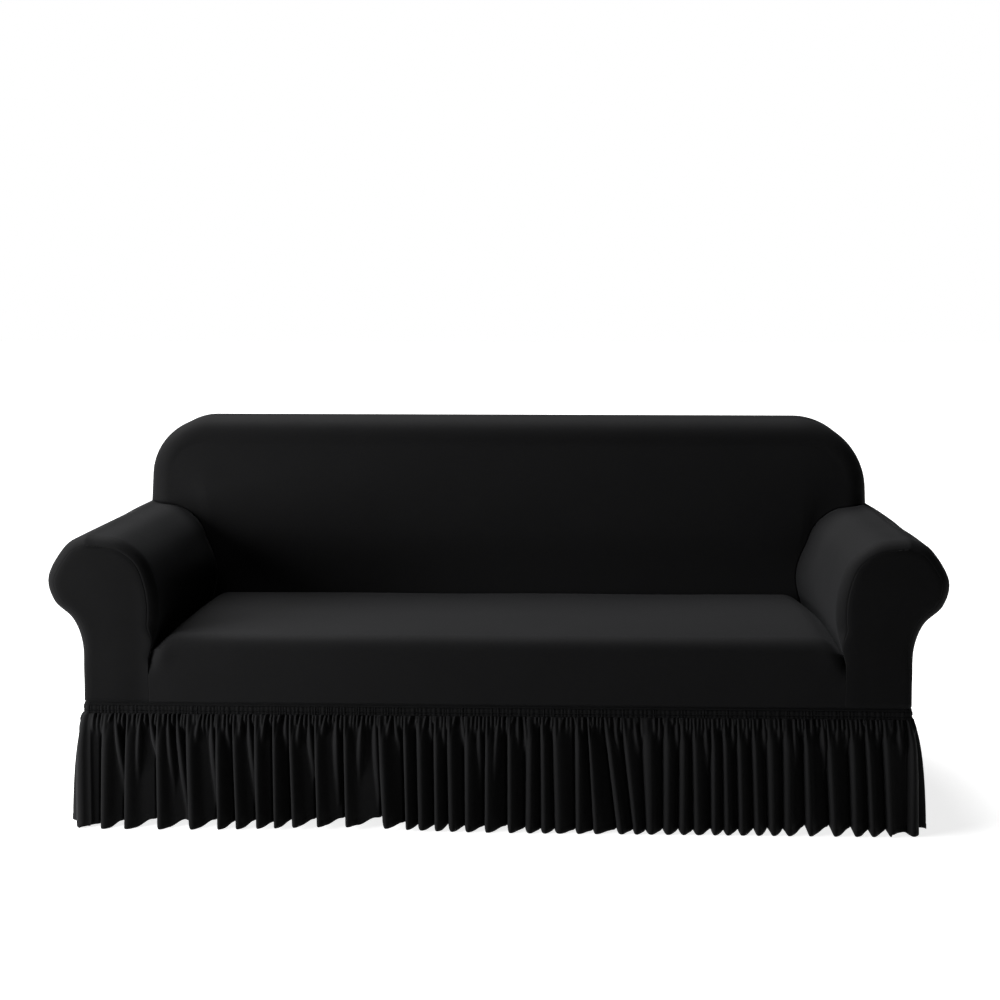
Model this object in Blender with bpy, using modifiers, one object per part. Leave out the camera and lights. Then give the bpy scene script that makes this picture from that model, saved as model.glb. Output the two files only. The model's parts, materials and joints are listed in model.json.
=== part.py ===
"""Fitted slipcover of a rolled-arm sofa, modelled as the panels of cloth it is sewn from.

Units are metres, +Z is up and the front faces -Y. Every panel is drawn in sewing coordinates:
x across from the middle, y back from the front face, z up from the floor. One empty on the floor
carries them all, so that the world origin lies under the cloth at the middle of the top.
"""

import math

import bmesh
import bpy
from mathutils import Vector

# Cloth
SHEET = 0.002                 # thickness of the stretch cloth
SEAM = 0.0006                 # room between one panel's edge and its neighbour
ARCH_LIFT = 0.0014            # the same where the leaning back stands on the arms

# Body of the cover
BODY_HALF = 0.968             # middle to the flat outside of the body
DEPTH = 0.90                  # front face to the outside back
TOP_HEIGHT = 0.888            # floor to the top of the back
BODY_FOOT = 0.2976            # lower edge of the body, on top of the waist
FRONT_ROUND = 0.035           # radius of the front edges of the seat and the rolls
REAR_ROUND = 0.020            # radius of the rear edges
BUTT = SHEET + 0.0005         # where cloth ends behind a flat panel
ROUNDED_ROWS = (BUTT, 0.009, 0.019, FRONT_ROUND)   # depths of the rows over a front edge

# Seat
SEAT_HEIGHT = 0.4530          # floor to the seat, at its front
SEAT_FALL = 0.006             # how much lower the seat is at its rear
SEAT_CROWN = 0.004            # rise of the seat's middle
TUCK_DIP = 0.007              # the seat's edges dip this much into the tuck
TUCK_REACH = 0.016            # distance over which that dip fades
SEAT_COLUMNS = 18
SEAT_EDGE_STEPS = (0.0, 0.010, 0.024, 0.050)
SEAT_ROWS = (0.0, 0.012, 0.035, 0.13, 0.30, 0.46)
LIP_ROWS = (0.0008, 0.0)       # last depths of that rounded edge, in the plane of the arm fronts
DROP_ROWS = (0.400, 0.350)

# Back
BACK_HALF = 0.967             # middle to the sides of the inside back
BACK_DEPTH = 0.607            # front face to the inside back, at the height of the seat
BACK_SLANT = 0.24             # the inside back leans away by this much for each metre up
CORNER_LEFT = 0.150           # radius of the top corner on the -X side
CORNER_RIGHT = 0.180          # radius of the top corner on the +X side
BACK_BULGE = 0.012            # swell of the middle towards the front
BULGE_RISE = 0.15             # height above the tuck over which the swell starts
BACK_ROWS = 8
CORNER_STEPS = 4              # from the side or the top to the middle of a top corner
BACK_MIDDLE_COLUMNS = 8
RIM_TURNS = (0.0, 30.0, 60.0, 90.0)   # degrees turned from the front towards the rear

# Right arm, as (x, z) from its tucked edge over the roll to its lower edge on the outside
ARM_SECTION = (
    (0.8120, 0.400),
    (0.7985, 0.452),
    (0.7910, 0.505),
    (0.7970, 0.570),
    (0.8230, 0.636),
    (0.8760, 0.677),
    (0.9400, 0.687),
    (BODY_HALF, 0.6865),
    (1.0110, 0.662),
    (1.0515, 0.592),
    (1.0385, 0.531),
    (0.9950, 0.488),
    (0.9720, 0.430),
    (BODY_HALF, 0.360),
    (BODY_HALF, BODY_FOOT),
)
SAMPLES = 2                   # points of the section from one knot to the next
ARCH_TOP = 11                 # sample where the arm meets the front of the inside back
LEDGE = 13                    # first sample that runs on behind the inside back
SIDE_TOP = 14                 # sample in the plane of the flat outside
CORNER_FILL = 0.024           # cloth bridging the corner of seat, arm and back
FILL_POWER = 2.5              # how late along the arm that bridging starts
FILL_HEIGHT = 0.15            # height above the seat over which it fades
INNER_ROUND_FOOT = 0.420      # the inner front edge is sharp up to here, beside the seat
INNER_ROUND_RISE = 0.060      # height above that over which it softens
OUTER_ROUND_FOOT = 0.360      # the outer front edge is as soft as the waist's corner up to here
OUTER_ROUND_RISE = 0.120
ARM_DROOP = 0.020             # the roll's top is this much lower at the back
DROOP_END = 0.62              # depth where it stops falling
DROOP_FOOT = 0.50             # the section below this height keeps its level
DROOP_RISE = 0.12             # height above that over which the fall takes hold
ROLL_FADE_START = 0.62        # depth where the roll starts to turn in to the flat side
ROLL_FADE_LENGTH = 0.14
ARM_ROWS = ROUNDED_ROWS + (0.20, 0.37, 0.48, 0.57, 0.64, 0.692)
SIDE_ROWS = (0.72, 0.745, 0.760, DEPTH - REAR_ROUND, DEPTH - 0.009, DEPTH - BUTT)

BACK_COLUMNS = 2 * ARCH_TOP + BACK_MIDDLE_COLUMNS
RIM_REAR_ROWS = (0.84,) + SIDE_ROWS[-3:]

# Waist
WAIST_TOP = 0.2970
WAIST_BOTTOM = 0.2700
WAIST_CORNER = 0.018          # radius of the waist's corners, seen from above
WAIST_PUFF = 0.0020           # swell of the cloth between two elastics
WAIST_STEPS = 4               # rows of cloth over the waist's height
WAIST_COLUMNS = 6
CORNER_COLUMNS = 3            # of a side length, where it turns a corner to meet the front or back

# Skirt
SKIRT_TOP = 0.2694
HEM_HEIGHT = 0.0015           # the hem just clears the floor
HEM_LIFT = 0.0090             # how much higher the hem is in the valleys
HEM_DRAWN_UP = 0.010          # the front hem rides up here
HEM_DRAWN_PLACE = -0.36       # across from the middle
HEM_DRAWN_REACH = 0.20
FLARE = 0.022                 # the hem stands out this much from the waist
FLARE_REACH = 0.13            # share of the drop over which most of that happens
FOLD_SHARE = 0.20             # depth of a fold, as a share of its width
FOLD_LIMITS = (0.007, 0.0135) # least and most depth either way from the mean
TOP_GATHER = 0.12             # share of a fold's depth that is left at the waist
GATHER_FADE = 0.6             # share of the drop over which the folds open
DROPS = (0.0, 0.16, 0.42, 0.72, 1.0)   # rows of cloth, as shares of the drop
FLAT_END = 0.004              # plain strip where two lengths are seamed

# Ridges of the front skirt in centimetres from the middle, at the hem and under the waist
FRONT_FOLDS = (
    (-91.7, -90.8),
    (-86.3, -85.6),
    (-78.4, -78.5),
    (-70.8, -70.9),
    (-64.4, -64.6),
    (-60.0, -59.8),
    (-55.2, -54.9),
    (-51.1, -51.1),
    (-46.7, -45.9),
    (-41.0, -40.9),
    (-34.3, -34.7),
    (-25.3, -26.1),
    (-20.2, -20.5),
    (-16.9, -16.7),
    (-13.3, -13.5),
    (-9.8, -10.0),
    (-6.1, -6.5),
    (-1.6, -1.8),
    (3.8, 3.5),
    (8.3, 7.7),
    (11.8, 11.4),
    (15.2, 14.8),
    (19.7, 18.9),
    (23.8, 21.9),
    (29.6, 26.0),
    (33.1, 30.2),
    (36.5, 36.0),
    (40.4, 40.4),
    (44.0, 44.0),
    (47.4, 47.3),
    (51.2, 50.5),
    (54.3, 53.5),
    (57.6, 56.8),
    (61.3, 60.5),
    (64.8, 64.1),
    (68.4, 67.5),
    (73.3, 72.6),
    (79.0, 77.7),
    (83.9, 82.8),
    (87.8, 86.9),
    (92.0, 90.9),
)
FRONT_STEPS = 6               # columns of cloth in one fold of the front
PLAIN_STEPS = 4               # the same at the sides and the back
SIDE_FOLDS = 13
CORNER_RIDGE = 0.68           # where a side's end ridges stand, as a share of the way round
BACK_FOLDS = 27
UNEVENNESS = 0.20             # how far hidden folds stray from even spacing

# Underside of the cloth at the middle of the top, which the world origin marks
MOUNT = Vector((0.0, 0.80, TOP_HEIGHT - SHEET))

BLACK_CLOTH = (0.012, 0.012, 0.014, 1.0)
CLOTH_ROUGHNESS = 0.85


# ---------------------------------------------------------------- scene and materials

def clear_scene():
    for old in list(bpy.data.objects):
        bpy.data.objects.remove(old)


def cloth_material(name):
    material = bpy.data.materials.new(name)
    material.use_nodes = True
    shader = material.node_tree.nodes["Principled BSDF"]
    shader.inputs["Base Color"].default_value = BLACK_CLOTH
    shader.inputs["Roughness"].default_value = CLOTH_ROUGHNESS
    shader.inputs["Metallic"].default_value = 0.0
    return material


def place_object(name, data, carrier, collection):
    panel = bpy.data.objects.new(name, data)
    panel.parent = carrier
    panel.data.materials.append(cloth_material(name))
    collection.objects.link(panel)
    return panel


def add_panel(name, mesh, carrier, collection):
    """Turn an open bmesh, its faces looking outwards, into a panel of cloth."""
    data = bpy.data.meshes.new(name)
    mesh.to_mesh(data)
    mesh.free()
    panel = place_object(name, data, carrier, collection)
    thickness = panel.modifiers.new("Cloth thickness", "SOLIDIFY")
    thickness.thickness = SHEET
    thickness.offset = -1.0
    thickness.use_even_offset = True
    return panel


def add_flat_panel(name, outline, depth, carrier, collection):
    """An upright flat panel from (x, z) points, the middle of its cloth at this depth."""
    data = bpy.data.curves.new(name, "CURVE")
    data.dimensions = "2D"
    data.fill_mode = "BOTH"
    data.extrude = SHEET / 2
    spline = data.splines.new("POLY")
    spline.points.add(len(outline) - 1)
    for corner, (x, z) in zip(spline.points, outline):
        corner.co = (x, z, 0.0, 1.0)
    spline.use_cyclic_u = True
    panel = place_object(name, data, carrier, collection)
    panel.location.y = depth
    panel.rotation_euler.x = math.pi / 2
    return panel


# ---------------------------------------------------------------- shared shapes

def fade(value):
    """Ease from 0 to 1."""
    value = min(max(value, 0.0), 1.0)
    return value * value * (3.0 - 2.0 * value)


def mix(start, end, share):
    return start + (end - start) * share


def edge_inset(depth, radius):
    """How far a rounded edge stands back at this depth behind the face it starts from."""
    if depth >= radius:
        return 0.0
    return radius - math.sqrt(radius ** 2 - (radius - depth) ** 2)


def smooth_through(knots, samples):
    """Catmull-Rom points through the knots."""
    knots = [Vector(knot) for knot in knots]
    ends = [2 * knots[0] - knots[1]] + knots + [2 * knots[-1] - knots[-2]]
    points = []
    for before, start, end, after in zip(ends, ends[1:], ends[2:], ends[3:]):
        for step in range(samples):
            t = step / samples
            cubic = 3 * start - before - 3 * end + after
            square = 2 * before - 5 * start + 4 * end - after
            points.append(start + 0.5 * ((end - before) * t + square * t ** 2 + cubic * t ** 3))
    points.append(knots[-1])
    return points


def left_normals(points):
    """Normals on the left of a walk along the points."""
    normals = []
    for index in range(len(points)):
        along = points[min(index + 1, len(points) - 1)] - points[max(index - 1, 0)]
        normals.append(Vector((-along.y, along.x)).normalized())
    return normals


def sheet_grid(columns, rows, place, keep=None, mesh=None):
    """A grid of columns by rows of cloth, each corner set by place(column, row)."""
    mesh = mesh or bmesh.new()
    grid = bmesh.ops.create_grid(mesh, x_segments=columns, y_segments=rows, size=0.5)["verts"]
    address = {vert: (index % (columns + 1), index // (columns + 1)) for index, vert in enumerate(grid)}
    if keep:
        unwanted = []
        for face in mesh.faces:
            column = min(address[vert][0] for vert in face.verts)
            row = min(address[vert][1] for vert in face.verts)
            if not keep(column, row):
                unwanted.append(face)
        bmesh.ops.delete(mesh, geom=unwanted, context="FACES")
    for vert, (column, row) in address.items():
        if vert.is_valid:
            vert.co = place(column, row)
    return mesh


# ---------------------------------------------------------------- arms

ARM_POINTS = smooth_through(ARM_SECTION, SAMPLES)
ARM_NORMALS = left_normals(ARM_POINTS)
BACK_ROUND = BACK_HALF - ARM_POINTS[ARCH_TOP].x
SIDE_HEIGHT = ARM_POINTS[SIDE_TOP].y - ARM_DROOP


def back_face_depth(height):
    """Depth of the inside back's plane at this height."""
    return BACK_DEPTH + BACK_SLANT * (height - SEAT_HEIGHT + SEAT_FALL)


def front_round(sample):
    """Radius of the arm's front edge along its section."""
    height = ARM_POINTS[sample].y
    if sample < ARCH_TOP:
        return FRONT_ROUND * fade((height - INNER_ROUND_FOOT) / INNER_ROUND_RISE)
    return mix(WAIST_CORNER, FRONT_ROUND, fade((height - OUTER_ROUND_FOOT) / OUTER_ROUND_RISE))


def droop(height, depth):
    """How far the roll has come down at this depth."""
    return ARM_DROOP * fade((height - DROOP_FOOT) / DROOP_RISE) * min(depth / DROOP_END, 1.0)


def arm_end(sample):
    """Depth where the arm's cloth ends, just behind the inside back."""
    point = ARM_POINTS[sample]
    past_edge = min(max(point.x - ARM_POINTS[ARCH_TOP].x, 0.0), BACK_ROUND)
    rounded = BACK_ROUND - math.sqrt(BACK_ROUND ** 2 - past_edge ** 2) if sample > ARCH_TOP else 0.0
    return back_face_depth(point.y - droop(point.y, DEPTH)) + rounded + 2 * SHEET


def arm_point(sample, depth, lift=0.0):
    """A point on the right arm's outer surface, raised from it by lift."""
    point = ARM_POINTS[sample]
    x, z = point + ARM_NORMALS[sample] * (lift - edge_inset(depth, front_round(sample)))
    if sample < ARCH_TOP:
        reached = min(depth / back_face_depth(point.y), 1.0)
        low = fade((SEAT_HEIGHT + FILL_HEIGHT - point.y) / FILL_HEIGHT)
        x -= CORNER_FILL * reached ** FILL_POWER * low
    if sample > SIDE_TOP:
        past = min(max((depth - ROLL_FADE_START) / ROLL_FADE_LENGTH, 0.0), 1.0)
        x = BODY_HALF + (x - BODY_HALF) * math.sqrt(1.0 - past ** 2)
    if sample >= LEDGE:
        x -= edge_inset(DEPTH - depth, REAR_ROUND)
    return Vector((x, depth, z - droop(point.y, depth)))


def arm_depth(sample, row):
    """Depth of a row of the arm's cloth."""
    last = len(ARM_ROWS) - 1
    if row > last:
        return SIDE_ROWS[row - last - 1]
    depth = ARM_ROWS[row]
    if sample >= LEDGE or depth <= FRONT_ROUND:
        return depth
    stretch = (arm_end(sample) - FRONT_ROUND) / (ARM_ROWS[-1] - FRONT_ROUND)
    return FRONT_ROUND + (depth - FRONT_ROUND) * stretch


def arm_panel(side):
    """Inside arm, roll and outside arm in one cloth; side is +1 or -1."""
    def place(sample, row):
        x, y, z = arm_point(sample, arm_depth(sample, row))
        return Vector((side * x, y, z))

    def keep(sample, row):
        return row < len(ARM_ROWS) - 1 or sample >= LEDGE

    rows = len(ARM_ROWS) + len(SIDE_ROWS) - 1
    mesh = sheet_grid(len(ARM_POINTS) - 1, rows, place, keep)
    if side < 0:
        bmesh.ops.reverse_faces(mesh, faces=mesh.faces[:])
    return mesh


def arm_facing(side):
    """Outline of an arm's front: its section, drawn in to where the rounded edge starts."""
    points = [arm_point(sample, BUTT) for sample in range(len(ARM_POINTS))]
    outline = [(side * point.x, point.z) for point in points]
    outline.append((outline[0][0], BODY_FOOT))
    return outline


# ---------------------------------------------------------------- seat

def seat_profile():
    """Seat from its rear edge over the front to the waist: depth, height, share facing up."""
    rear = back_face_depth(SEAT_HEIGHT - SEAT_FALL - TUCK_DIP - SHEET) - SEAM
    profile = []
    for behind in SEAT_ROWS:
        depth = rear - behind
        height = SEAT_HEIGHT - SEAT_FALL * depth / rear
        dip = TUCK_DIP * math.exp(-(behind / TUCK_REACH) ** 2)
        profile.append((depth, height - dip, 1.0))
    for depth in ROUNDED_ROWS[::-1] + LIP_ROWS:
        inset = edge_inset(depth, FRONT_ROUND)
        profile.append((depth, SEAT_HEIGHT - inset, 1.0 - inset / FRONT_ROUND))
    for height in DROP_ROWS + (BODY_FOOT,):
        profile.append((0.0, height, 0.0))
    return profile


def arm_face(depth, height):
    """Distance from the middle to the inside of the right arm's cloth."""
    def across(sample):
        row = 0
        while arm_depth(sample, row + 1) < depth:
            row += 1
        near = arm_point(sample, arm_depth(sample, row))
        far = arm_point(sample, arm_depth(sample, row + 1))
        return near.lerp(far, max((depth - near.y) / (far.y - near.y), 0.0))

    for sample in range(ARCH_TOP):
        low = across(sample)
        high = across(sample + 1)
        if height <= high.z:
            return mix(low.x, high.x, max((height - low.z) / (high.z - low.z), 0.0))
    raise ValueError("that height is above the inside of the arm")


def seat_panel():
    profile = seat_profile()

    def across(column, half):
        """Columns stand closer together beside the arms."""
        side = -1.0 if column < SEAT_COLUMNS / 2 else 1.0
        from_end = min(column, SEAT_COLUMNS - column)
        if from_end < len(SEAT_EDGE_STEPS):
            return side * (half - SEAT_EDGE_STEPS[from_end])
        inner = half - SEAT_EDGE_STEPS[-1]
        edge_columns = len(SEAT_EDGE_STEPS) - 1
        share = (column - edge_columns) / (SEAT_COLUMNS - 2 * edge_columns)
        return inner * (2.0 * share - 1.0)

    def place(column, row):
        depth, height, upward = profile[row]
        beside = depth + SHEET * (1.0 - upward) if depth > 0.0 else BUTT
        half = arm_face(beside, height - TUCK_DIP * upward) - SEAM
        x = across(column, half)
        dip = TUCK_DIP * upward * math.exp(-((half - abs(x)) / TUCK_REACH) ** 2)
        crown = SEAT_CROWN * upward * (1.0 - (x / half) ** 2) * math.sin(math.pi * depth / BACK_DEPTH)
        height += crown - dip
        return Vector((x, min(depth, back_face_depth(height - SHEET) - SEAM), height))

    mesh = sheet_grid(SEAT_COLUMNS, len(profile) - 1, place)
    bmesh.ops.reverse_faces(mesh, faces=mesh.faces[:])
    return mesh


# ---------------------------------------------------------------- back

def arm_top(x):
    """Height of the roll's top where the sides of the back stand on it."""
    for low, high in zip(ARM_POINTS[ARCH_TOP:SIDE_TOP], ARM_POINTS[ARCH_TOP + 1:SIDE_TOP + 1]):
        if x <= high.x:
            return mix(low.y, high.y, (x - low.x) / (high.x - low.x)) - ARM_DROOP
    return SIDE_HEIGHT


def corner_arc(side, radius, start, end, steps, inset):
    """Points of a top corner from one angle to another, drawn in by inset."""
    centre = Vector((side * (BACK_HALF - radius), TOP_HEIGHT - radius))
    points = []
    for step in range(steps + 1):
        angle = math.radians(mix(start, end, step / steps))
        points.append(centre + Vector((side * math.cos(angle), math.sin(angle))) * (radius - inset))
    return points


def side_edge(side, radius, inset):
    """Points up one side of the back, as far as the middle of the top corner."""
    x = BACK_HALF - inset
    foot = arm_top(x) + ARCH_LIFT
    points = []
    for step in range(BACK_ROWS - CORNER_STEPS):
        height = mix(foot, TOP_HEIGHT - radius, step / (BACK_ROWS - CORNER_STEPS))
        points.append(Vector((side * x, height)))
    return points + corner_arc(side, radius, 0.0, 45.0, CORNER_STEPS, inset)


def top_edge(inset):
    """Points along the top between the middles of the two corners."""
    left = corner_arc(-1.0, CORNER_LEFT, 45.0, 90.0, CORNER_STEPS, inset)
    right = corner_arc(1.0, CORNER_RIGHT, 90.0, 45.0, CORNER_STEPS, inset)
    straight_columns = BACK_COLUMNS - 2 * CORNER_STEPS
    straight = [left[-1].lerp(right[0], step / straight_columns) for step in range(1, straight_columns)]
    return left + straight + right


def foot_edge():
    """Lower edge of the inside back, left to right: over both arms and through the tuck."""
    right = []
    for sample in range(ARCH_TOP):
        height = ARM_POINTS[sample].y - droop(ARM_POINTS[sample].y, DEPTH)
        point = arm_point(sample, back_face_depth(height), lift=ARCH_LIFT)
        right.append(Vector((point.x, point.z)))
    right.append(side_edge(1.0, CORNER_RIGHT, BACK_ROUND)[0])
    left = [Vector((-point.x, point.y)) for point in reversed(right)]
    middle = [left[-1].lerp(right[0], step / BACK_MIDDLE_COLUMNS) for step in range(1, BACK_MIDDLE_COLUMNS)]
    return left + middle + right


def inside_back():
    """Front of the back, its cloth carried over the top and round both sides to the rear."""
    foot = foot_edge()
    top = top_edge(BACK_ROUND)
    left = side_edge(-1.0, CORNER_LEFT, BACK_ROUND)
    right = side_edge(1.0, CORNER_RIGHT, BACK_ROUND)

    def place_front(column, row):
        u = column / BACK_COLUMNS
        v = row / BACK_ROWS
        corners = foot[0].lerp(foot[-1], u).lerp(top[0].lerp(top[-1], u), v)
        x, z = foot[column].lerp(top[column], v) + left[row].lerp(right[row], u) - corners
        swell = BACK_BULGE * math.sin(math.pi * u) * math.sin(math.pi * v)
        above_tuck = fade((z - SEAT_HEIGHT) / BULGE_RISE)
        return Vector((x, back_face_depth(z) - swell * above_tuck, z))

    def rim(inset):
        return (side_edge(-1.0, CORNER_LEFT, inset) + top_edge(inset)[1:-1]
                + side_edge(1.0, CORNER_RIGHT, inset)[::-1])

    def place_rim(station, row):
        if row < len(RIM_TURNS):
            turn = math.radians(RIM_TURNS[row])
            x, z = rim(BACK_ROUND * (1.0 - math.sin(turn)))[station]
            flat = rim(BACK_ROUND)[station]
            return Vector((x, back_face_depth(flat.y) + BACK_ROUND * (1.0 - math.cos(turn)), z))
        depth = RIM_REAR_ROWS[row - len(RIM_TURNS)]
        x, z = rim(edge_inset(DEPTH - depth, REAR_ROUND))[station]
        return Vector((x, depth, z))

    mesh = sheet_grid(BACK_COLUMNS, BACK_ROWS, place_front)
    sheet_grid(len(rim(0.0)) - 1, len(RIM_TURNS) + len(RIM_REAR_ROWS) - 1, place_rim, mesh=mesh)
    bmesh.ops.remove_doubles(mesh, verts=mesh.verts[:], dist=1e-5)
    return mesh


def outside_back_outline():
    """The rear's outline, from the waist up over the rounded top corners."""
    inset = edge_inset(BUTT, REAR_ROUND)
    right = [Vector((BODY_HALF - inset, BODY_FOOT)), Vector((BODY_HALF - inset, SIDE_HEIGHT))]
    right += corner_arc(1.0, CORNER_RIGHT, 0.0, 90.0, 2 * CORNER_STEPS, inset)
    left = corner_arc(-1.0, CORNER_LEFT, 90.0, 0.0, 2 * CORNER_STEPS, inset)
    left += [Vector((inset - BODY_HALF, SIDE_HEIGHT)), Vector((inset - BODY_HALF, BODY_FOOT))]
    return [tuple(point) for point in right + left]


# ---------------------------------------------------------------- waist and skirt

def around(distance, out, half):
    """Plan of one side of the waist: straight for half each way, then round the corner."""
    side = math.copysign(1.0, distance)
    past = abs(distance) - half
    if past <= 0.0:
        return distance, -out
    turn = past / WAIST_CORNER
    x = half + (WAIST_CORNER + out) * math.sin(turn)
    y = WAIST_CORNER - (WAIST_CORNER + out) * math.cos(turn)
    return side * x, y


def waist_length(half, reach):
    """A length of shirred elastic, swelling a little between its elastics."""
    bend = [mix(half, reach, step / CORNER_COLUMNS) for step in range(CORNER_COLUMNS + 1)]
    if reach == half:
        bend = [half]
    stations = [-place for place in reversed(bend)]
    stations += [mix(-half, half, step / WAIST_COLUMNS) for step in range(1, WAIST_COLUMNS)]
    stations += bend

    def place(column, row):
        share = row / WAIST_STEPS
        puff = WAIST_PUFF * abs(math.sin(math.pi * WAIST_STEPS / 2 * share))
        x, y = around(stations[column], puff, half)
        return Vector((x, y, mix(WAIST_BOTTOM, WAIST_TOP, share)))

    return sheet_grid(len(stations) - 1, WAIST_STEPS, place)


def fold_stations(ridges, reach, steps):
    """Columns of a gathered length: (distance at hem, distance at top, rise, closeness to a ridge)."""
    widths = [after[0] - before[0] for before, after in zip(ridges, ridges[1:])]
    depths = [min(max(FOLD_SHARE * width, FOLD_LIMITS[0]), FOLD_LIMITS[1]) for width in widths]
    end = (reach, reach)
    inner_end = (reach - FLAT_END, reach - FLAT_END)
    start = (-reach, -reach)
    inner_start = (FLAT_END - reach, FLAT_END - reach)
    stations = [start + (-depths[0], 0.0)]
    for step in range(steps // 2):
        near = (1.0 - math.cos(2 * math.pi * step / steps)) / 2
        share = 2 * step / steps
        place = tuple(mix(a, b, share) for a, b in zip(inner_start, ridges[0]))
        stations.append(place + (depths[0] * (2 * near - 1), near))
    for index, depth in enumerate(depths):
        before = depths[max(index - 1, 0)]
        after = depths[min(index + 1, len(depths) - 1)]
        for step in range(steps):
            share = step / steps
            near = (1.0 + math.cos(2 * math.pi * share)) / 2
            ridge = mix((before + depth) / 2, (depth + after) / 2, share)
            place = tuple(mix(a, b, share) for a, b in zip(ridges[index], ridges[index + 1]))
            stations.append(place + (ridge * near - depth * (1.0 - near), near))
    for step in range(steps // 2 + 1):
        near = (1.0 + math.cos(2 * math.pi * step / steps)) / 2
        share = 2 * step / steps
        place = tuple(mix(a, b, share) for a, b in zip(ridges[-1], inner_end))
        stations.append(place + (depths[-1] * (2 * near - 1), near))
    stations.append(end + (-depths[-1], 0.0))
    return stations


def skirt_length(half, reach, ridges, steps, drawn_up):
    """A gathered length from the waist to the floor, its folds deepening towards the hem."""
    stations = fold_stations(ridges, reach, steps)

    def place(column, row):
        hem, top, rise, near = stations[column]
        drop = DROPS[len(DROPS) - 1 - row]
        deepness = mix(TOP_GATHER, 1.0, fade(drop / GATHER_FADE))
        flare = FLARE * (1.0 - math.exp(-drop / FLARE_REACH))
        x, y = around(mix(top, hem, drop), flare + rise * deepness, half)
        from_drawn = (hem - HEM_DRAWN_PLACE) / HEM_DRAWN_REACH
        hem_height = HEM_HEIGHT + HEM_LIFT * (1.0 - near) + drawn_up * math.exp(-from_drawn ** 2)
        return Vector((x, y, mix(SKIRT_TOP, hem_height, drop)))

    return sheet_grid(len(stations) - 1, len(DROPS) - 1, place)


def hidden_folds(count, reach):
    """Ridges along a side that doesn't face the front, a little uneven."""
    ridges = []
    for index in range(count):
        place = (index + 0.5 + UNEVENNESS * math.sin(2.4 * index)) / count
        ridges.append((mix(-reach, reach, place), mix(-reach, reach, place)))
    return ridges


def add_waist_and_skirt(carrier, collection):
    width = BODY_HALF - WAIST_CORNER - SEAM
    side = DEPTH / 2 - WAIST_CORNER
    side_reach = side + WAIST_CORNER * math.pi / 2
    corner_ridge = mix(side, side_reach, CORNER_RIDGE)
    front_folds = [(hem / 100, top / 100) for hem, top in FRONT_FOLDS]
    back_folds = hidden_folds(BACK_FOLDS, width)
    side_folds = [(-corner_ridge, -corner_ridge)]
    side_folds += hidden_folds(SIDE_FOLDS, side)
    side_folds += [(corner_ridge, corner_ridge)]
    lengths = (
        ("front", (0.0, 0.0), 0.0, width, width, front_folds, FRONT_STEPS),
        ("right", (BODY_HALF, DEPTH / 2), 90.0, side, side_reach, side_folds, PLAIN_STEPS),
        ("back", (0.0, DEPTH), 180.0, width, width, back_folds, PLAIN_STEPS),
        ("left", (-BODY_HALF, DEPTH / 2), 270.0, side, side_reach, side_folds, PLAIN_STEPS),
    )
    for name, place, turn, half, reach, folds, steps in lengths:
        waist = add_panel("waist_" + name, waist_length(half, reach), carrier, collection)
        drawn_up = HEM_DRAWN_UP if name == "front" else 0.0
        cloth = skirt_length(half, reach, folds, steps, drawn_up)
        skirt = add_panel("skirt_" + name, cloth, carrier, collection)
        for panel in (waist, skirt):
            panel.location = (place[0], place[1], 0.0)
            panel.rotation_euler.z = math.radians(turn)


# ---------------------------------------------------------------- the cover

def main():
    clear_scene()
    collection = bpy.data.collections.new("sofa_slipcover")
    bpy.context.scene.collection.children.link(collection)
    carrier = bpy.data.objects.new("floor_under_front", None)
    carrier.location = -MOUNT
    collection.objects.link(carrier)

    add_panel("inside_back", inside_back(), carrier, collection)
    add_flat_panel("outside_back", outside_back_outline(), DEPTH - SHEET / 2, carrier, collection)
    add_panel("seat_panel", seat_panel(), carrier, collection)
    for name, side in (("left", -1.0), ("right", 1.0)):
        add_panel("arm_" + name, arm_panel(side), carrier, collection)
        add_flat_panel("arm_front_" + name, arm_facing(side), SHEET / 2, carrier, collection)
    add_waist_and_skirt(carrier, collection)


main()
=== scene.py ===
# %% [markdown]
# # A fitted slipcover with rolled arms
#
# The object is a stretch cover in plain black. A smooth body is pulled tight over the back, seat and
# arms, and a gathered skirt hangs from a shirred elastic waist to the floor. The solids of the cover
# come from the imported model. They hold the true size and the main folds. Here each panel of cloth
# is made again as a finer sheet on the same shape, then given its knit.
#
# Everything is drawn in sewing coordinates: x across from the middle, y back from the front face
# and z up from the floor. A last step moves each finished sheet into the model's own frame.

# %% Load the solids
import bisect
import json
import math

import bmesh
import bpy
from mathutils import Matrix, Vector

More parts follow.
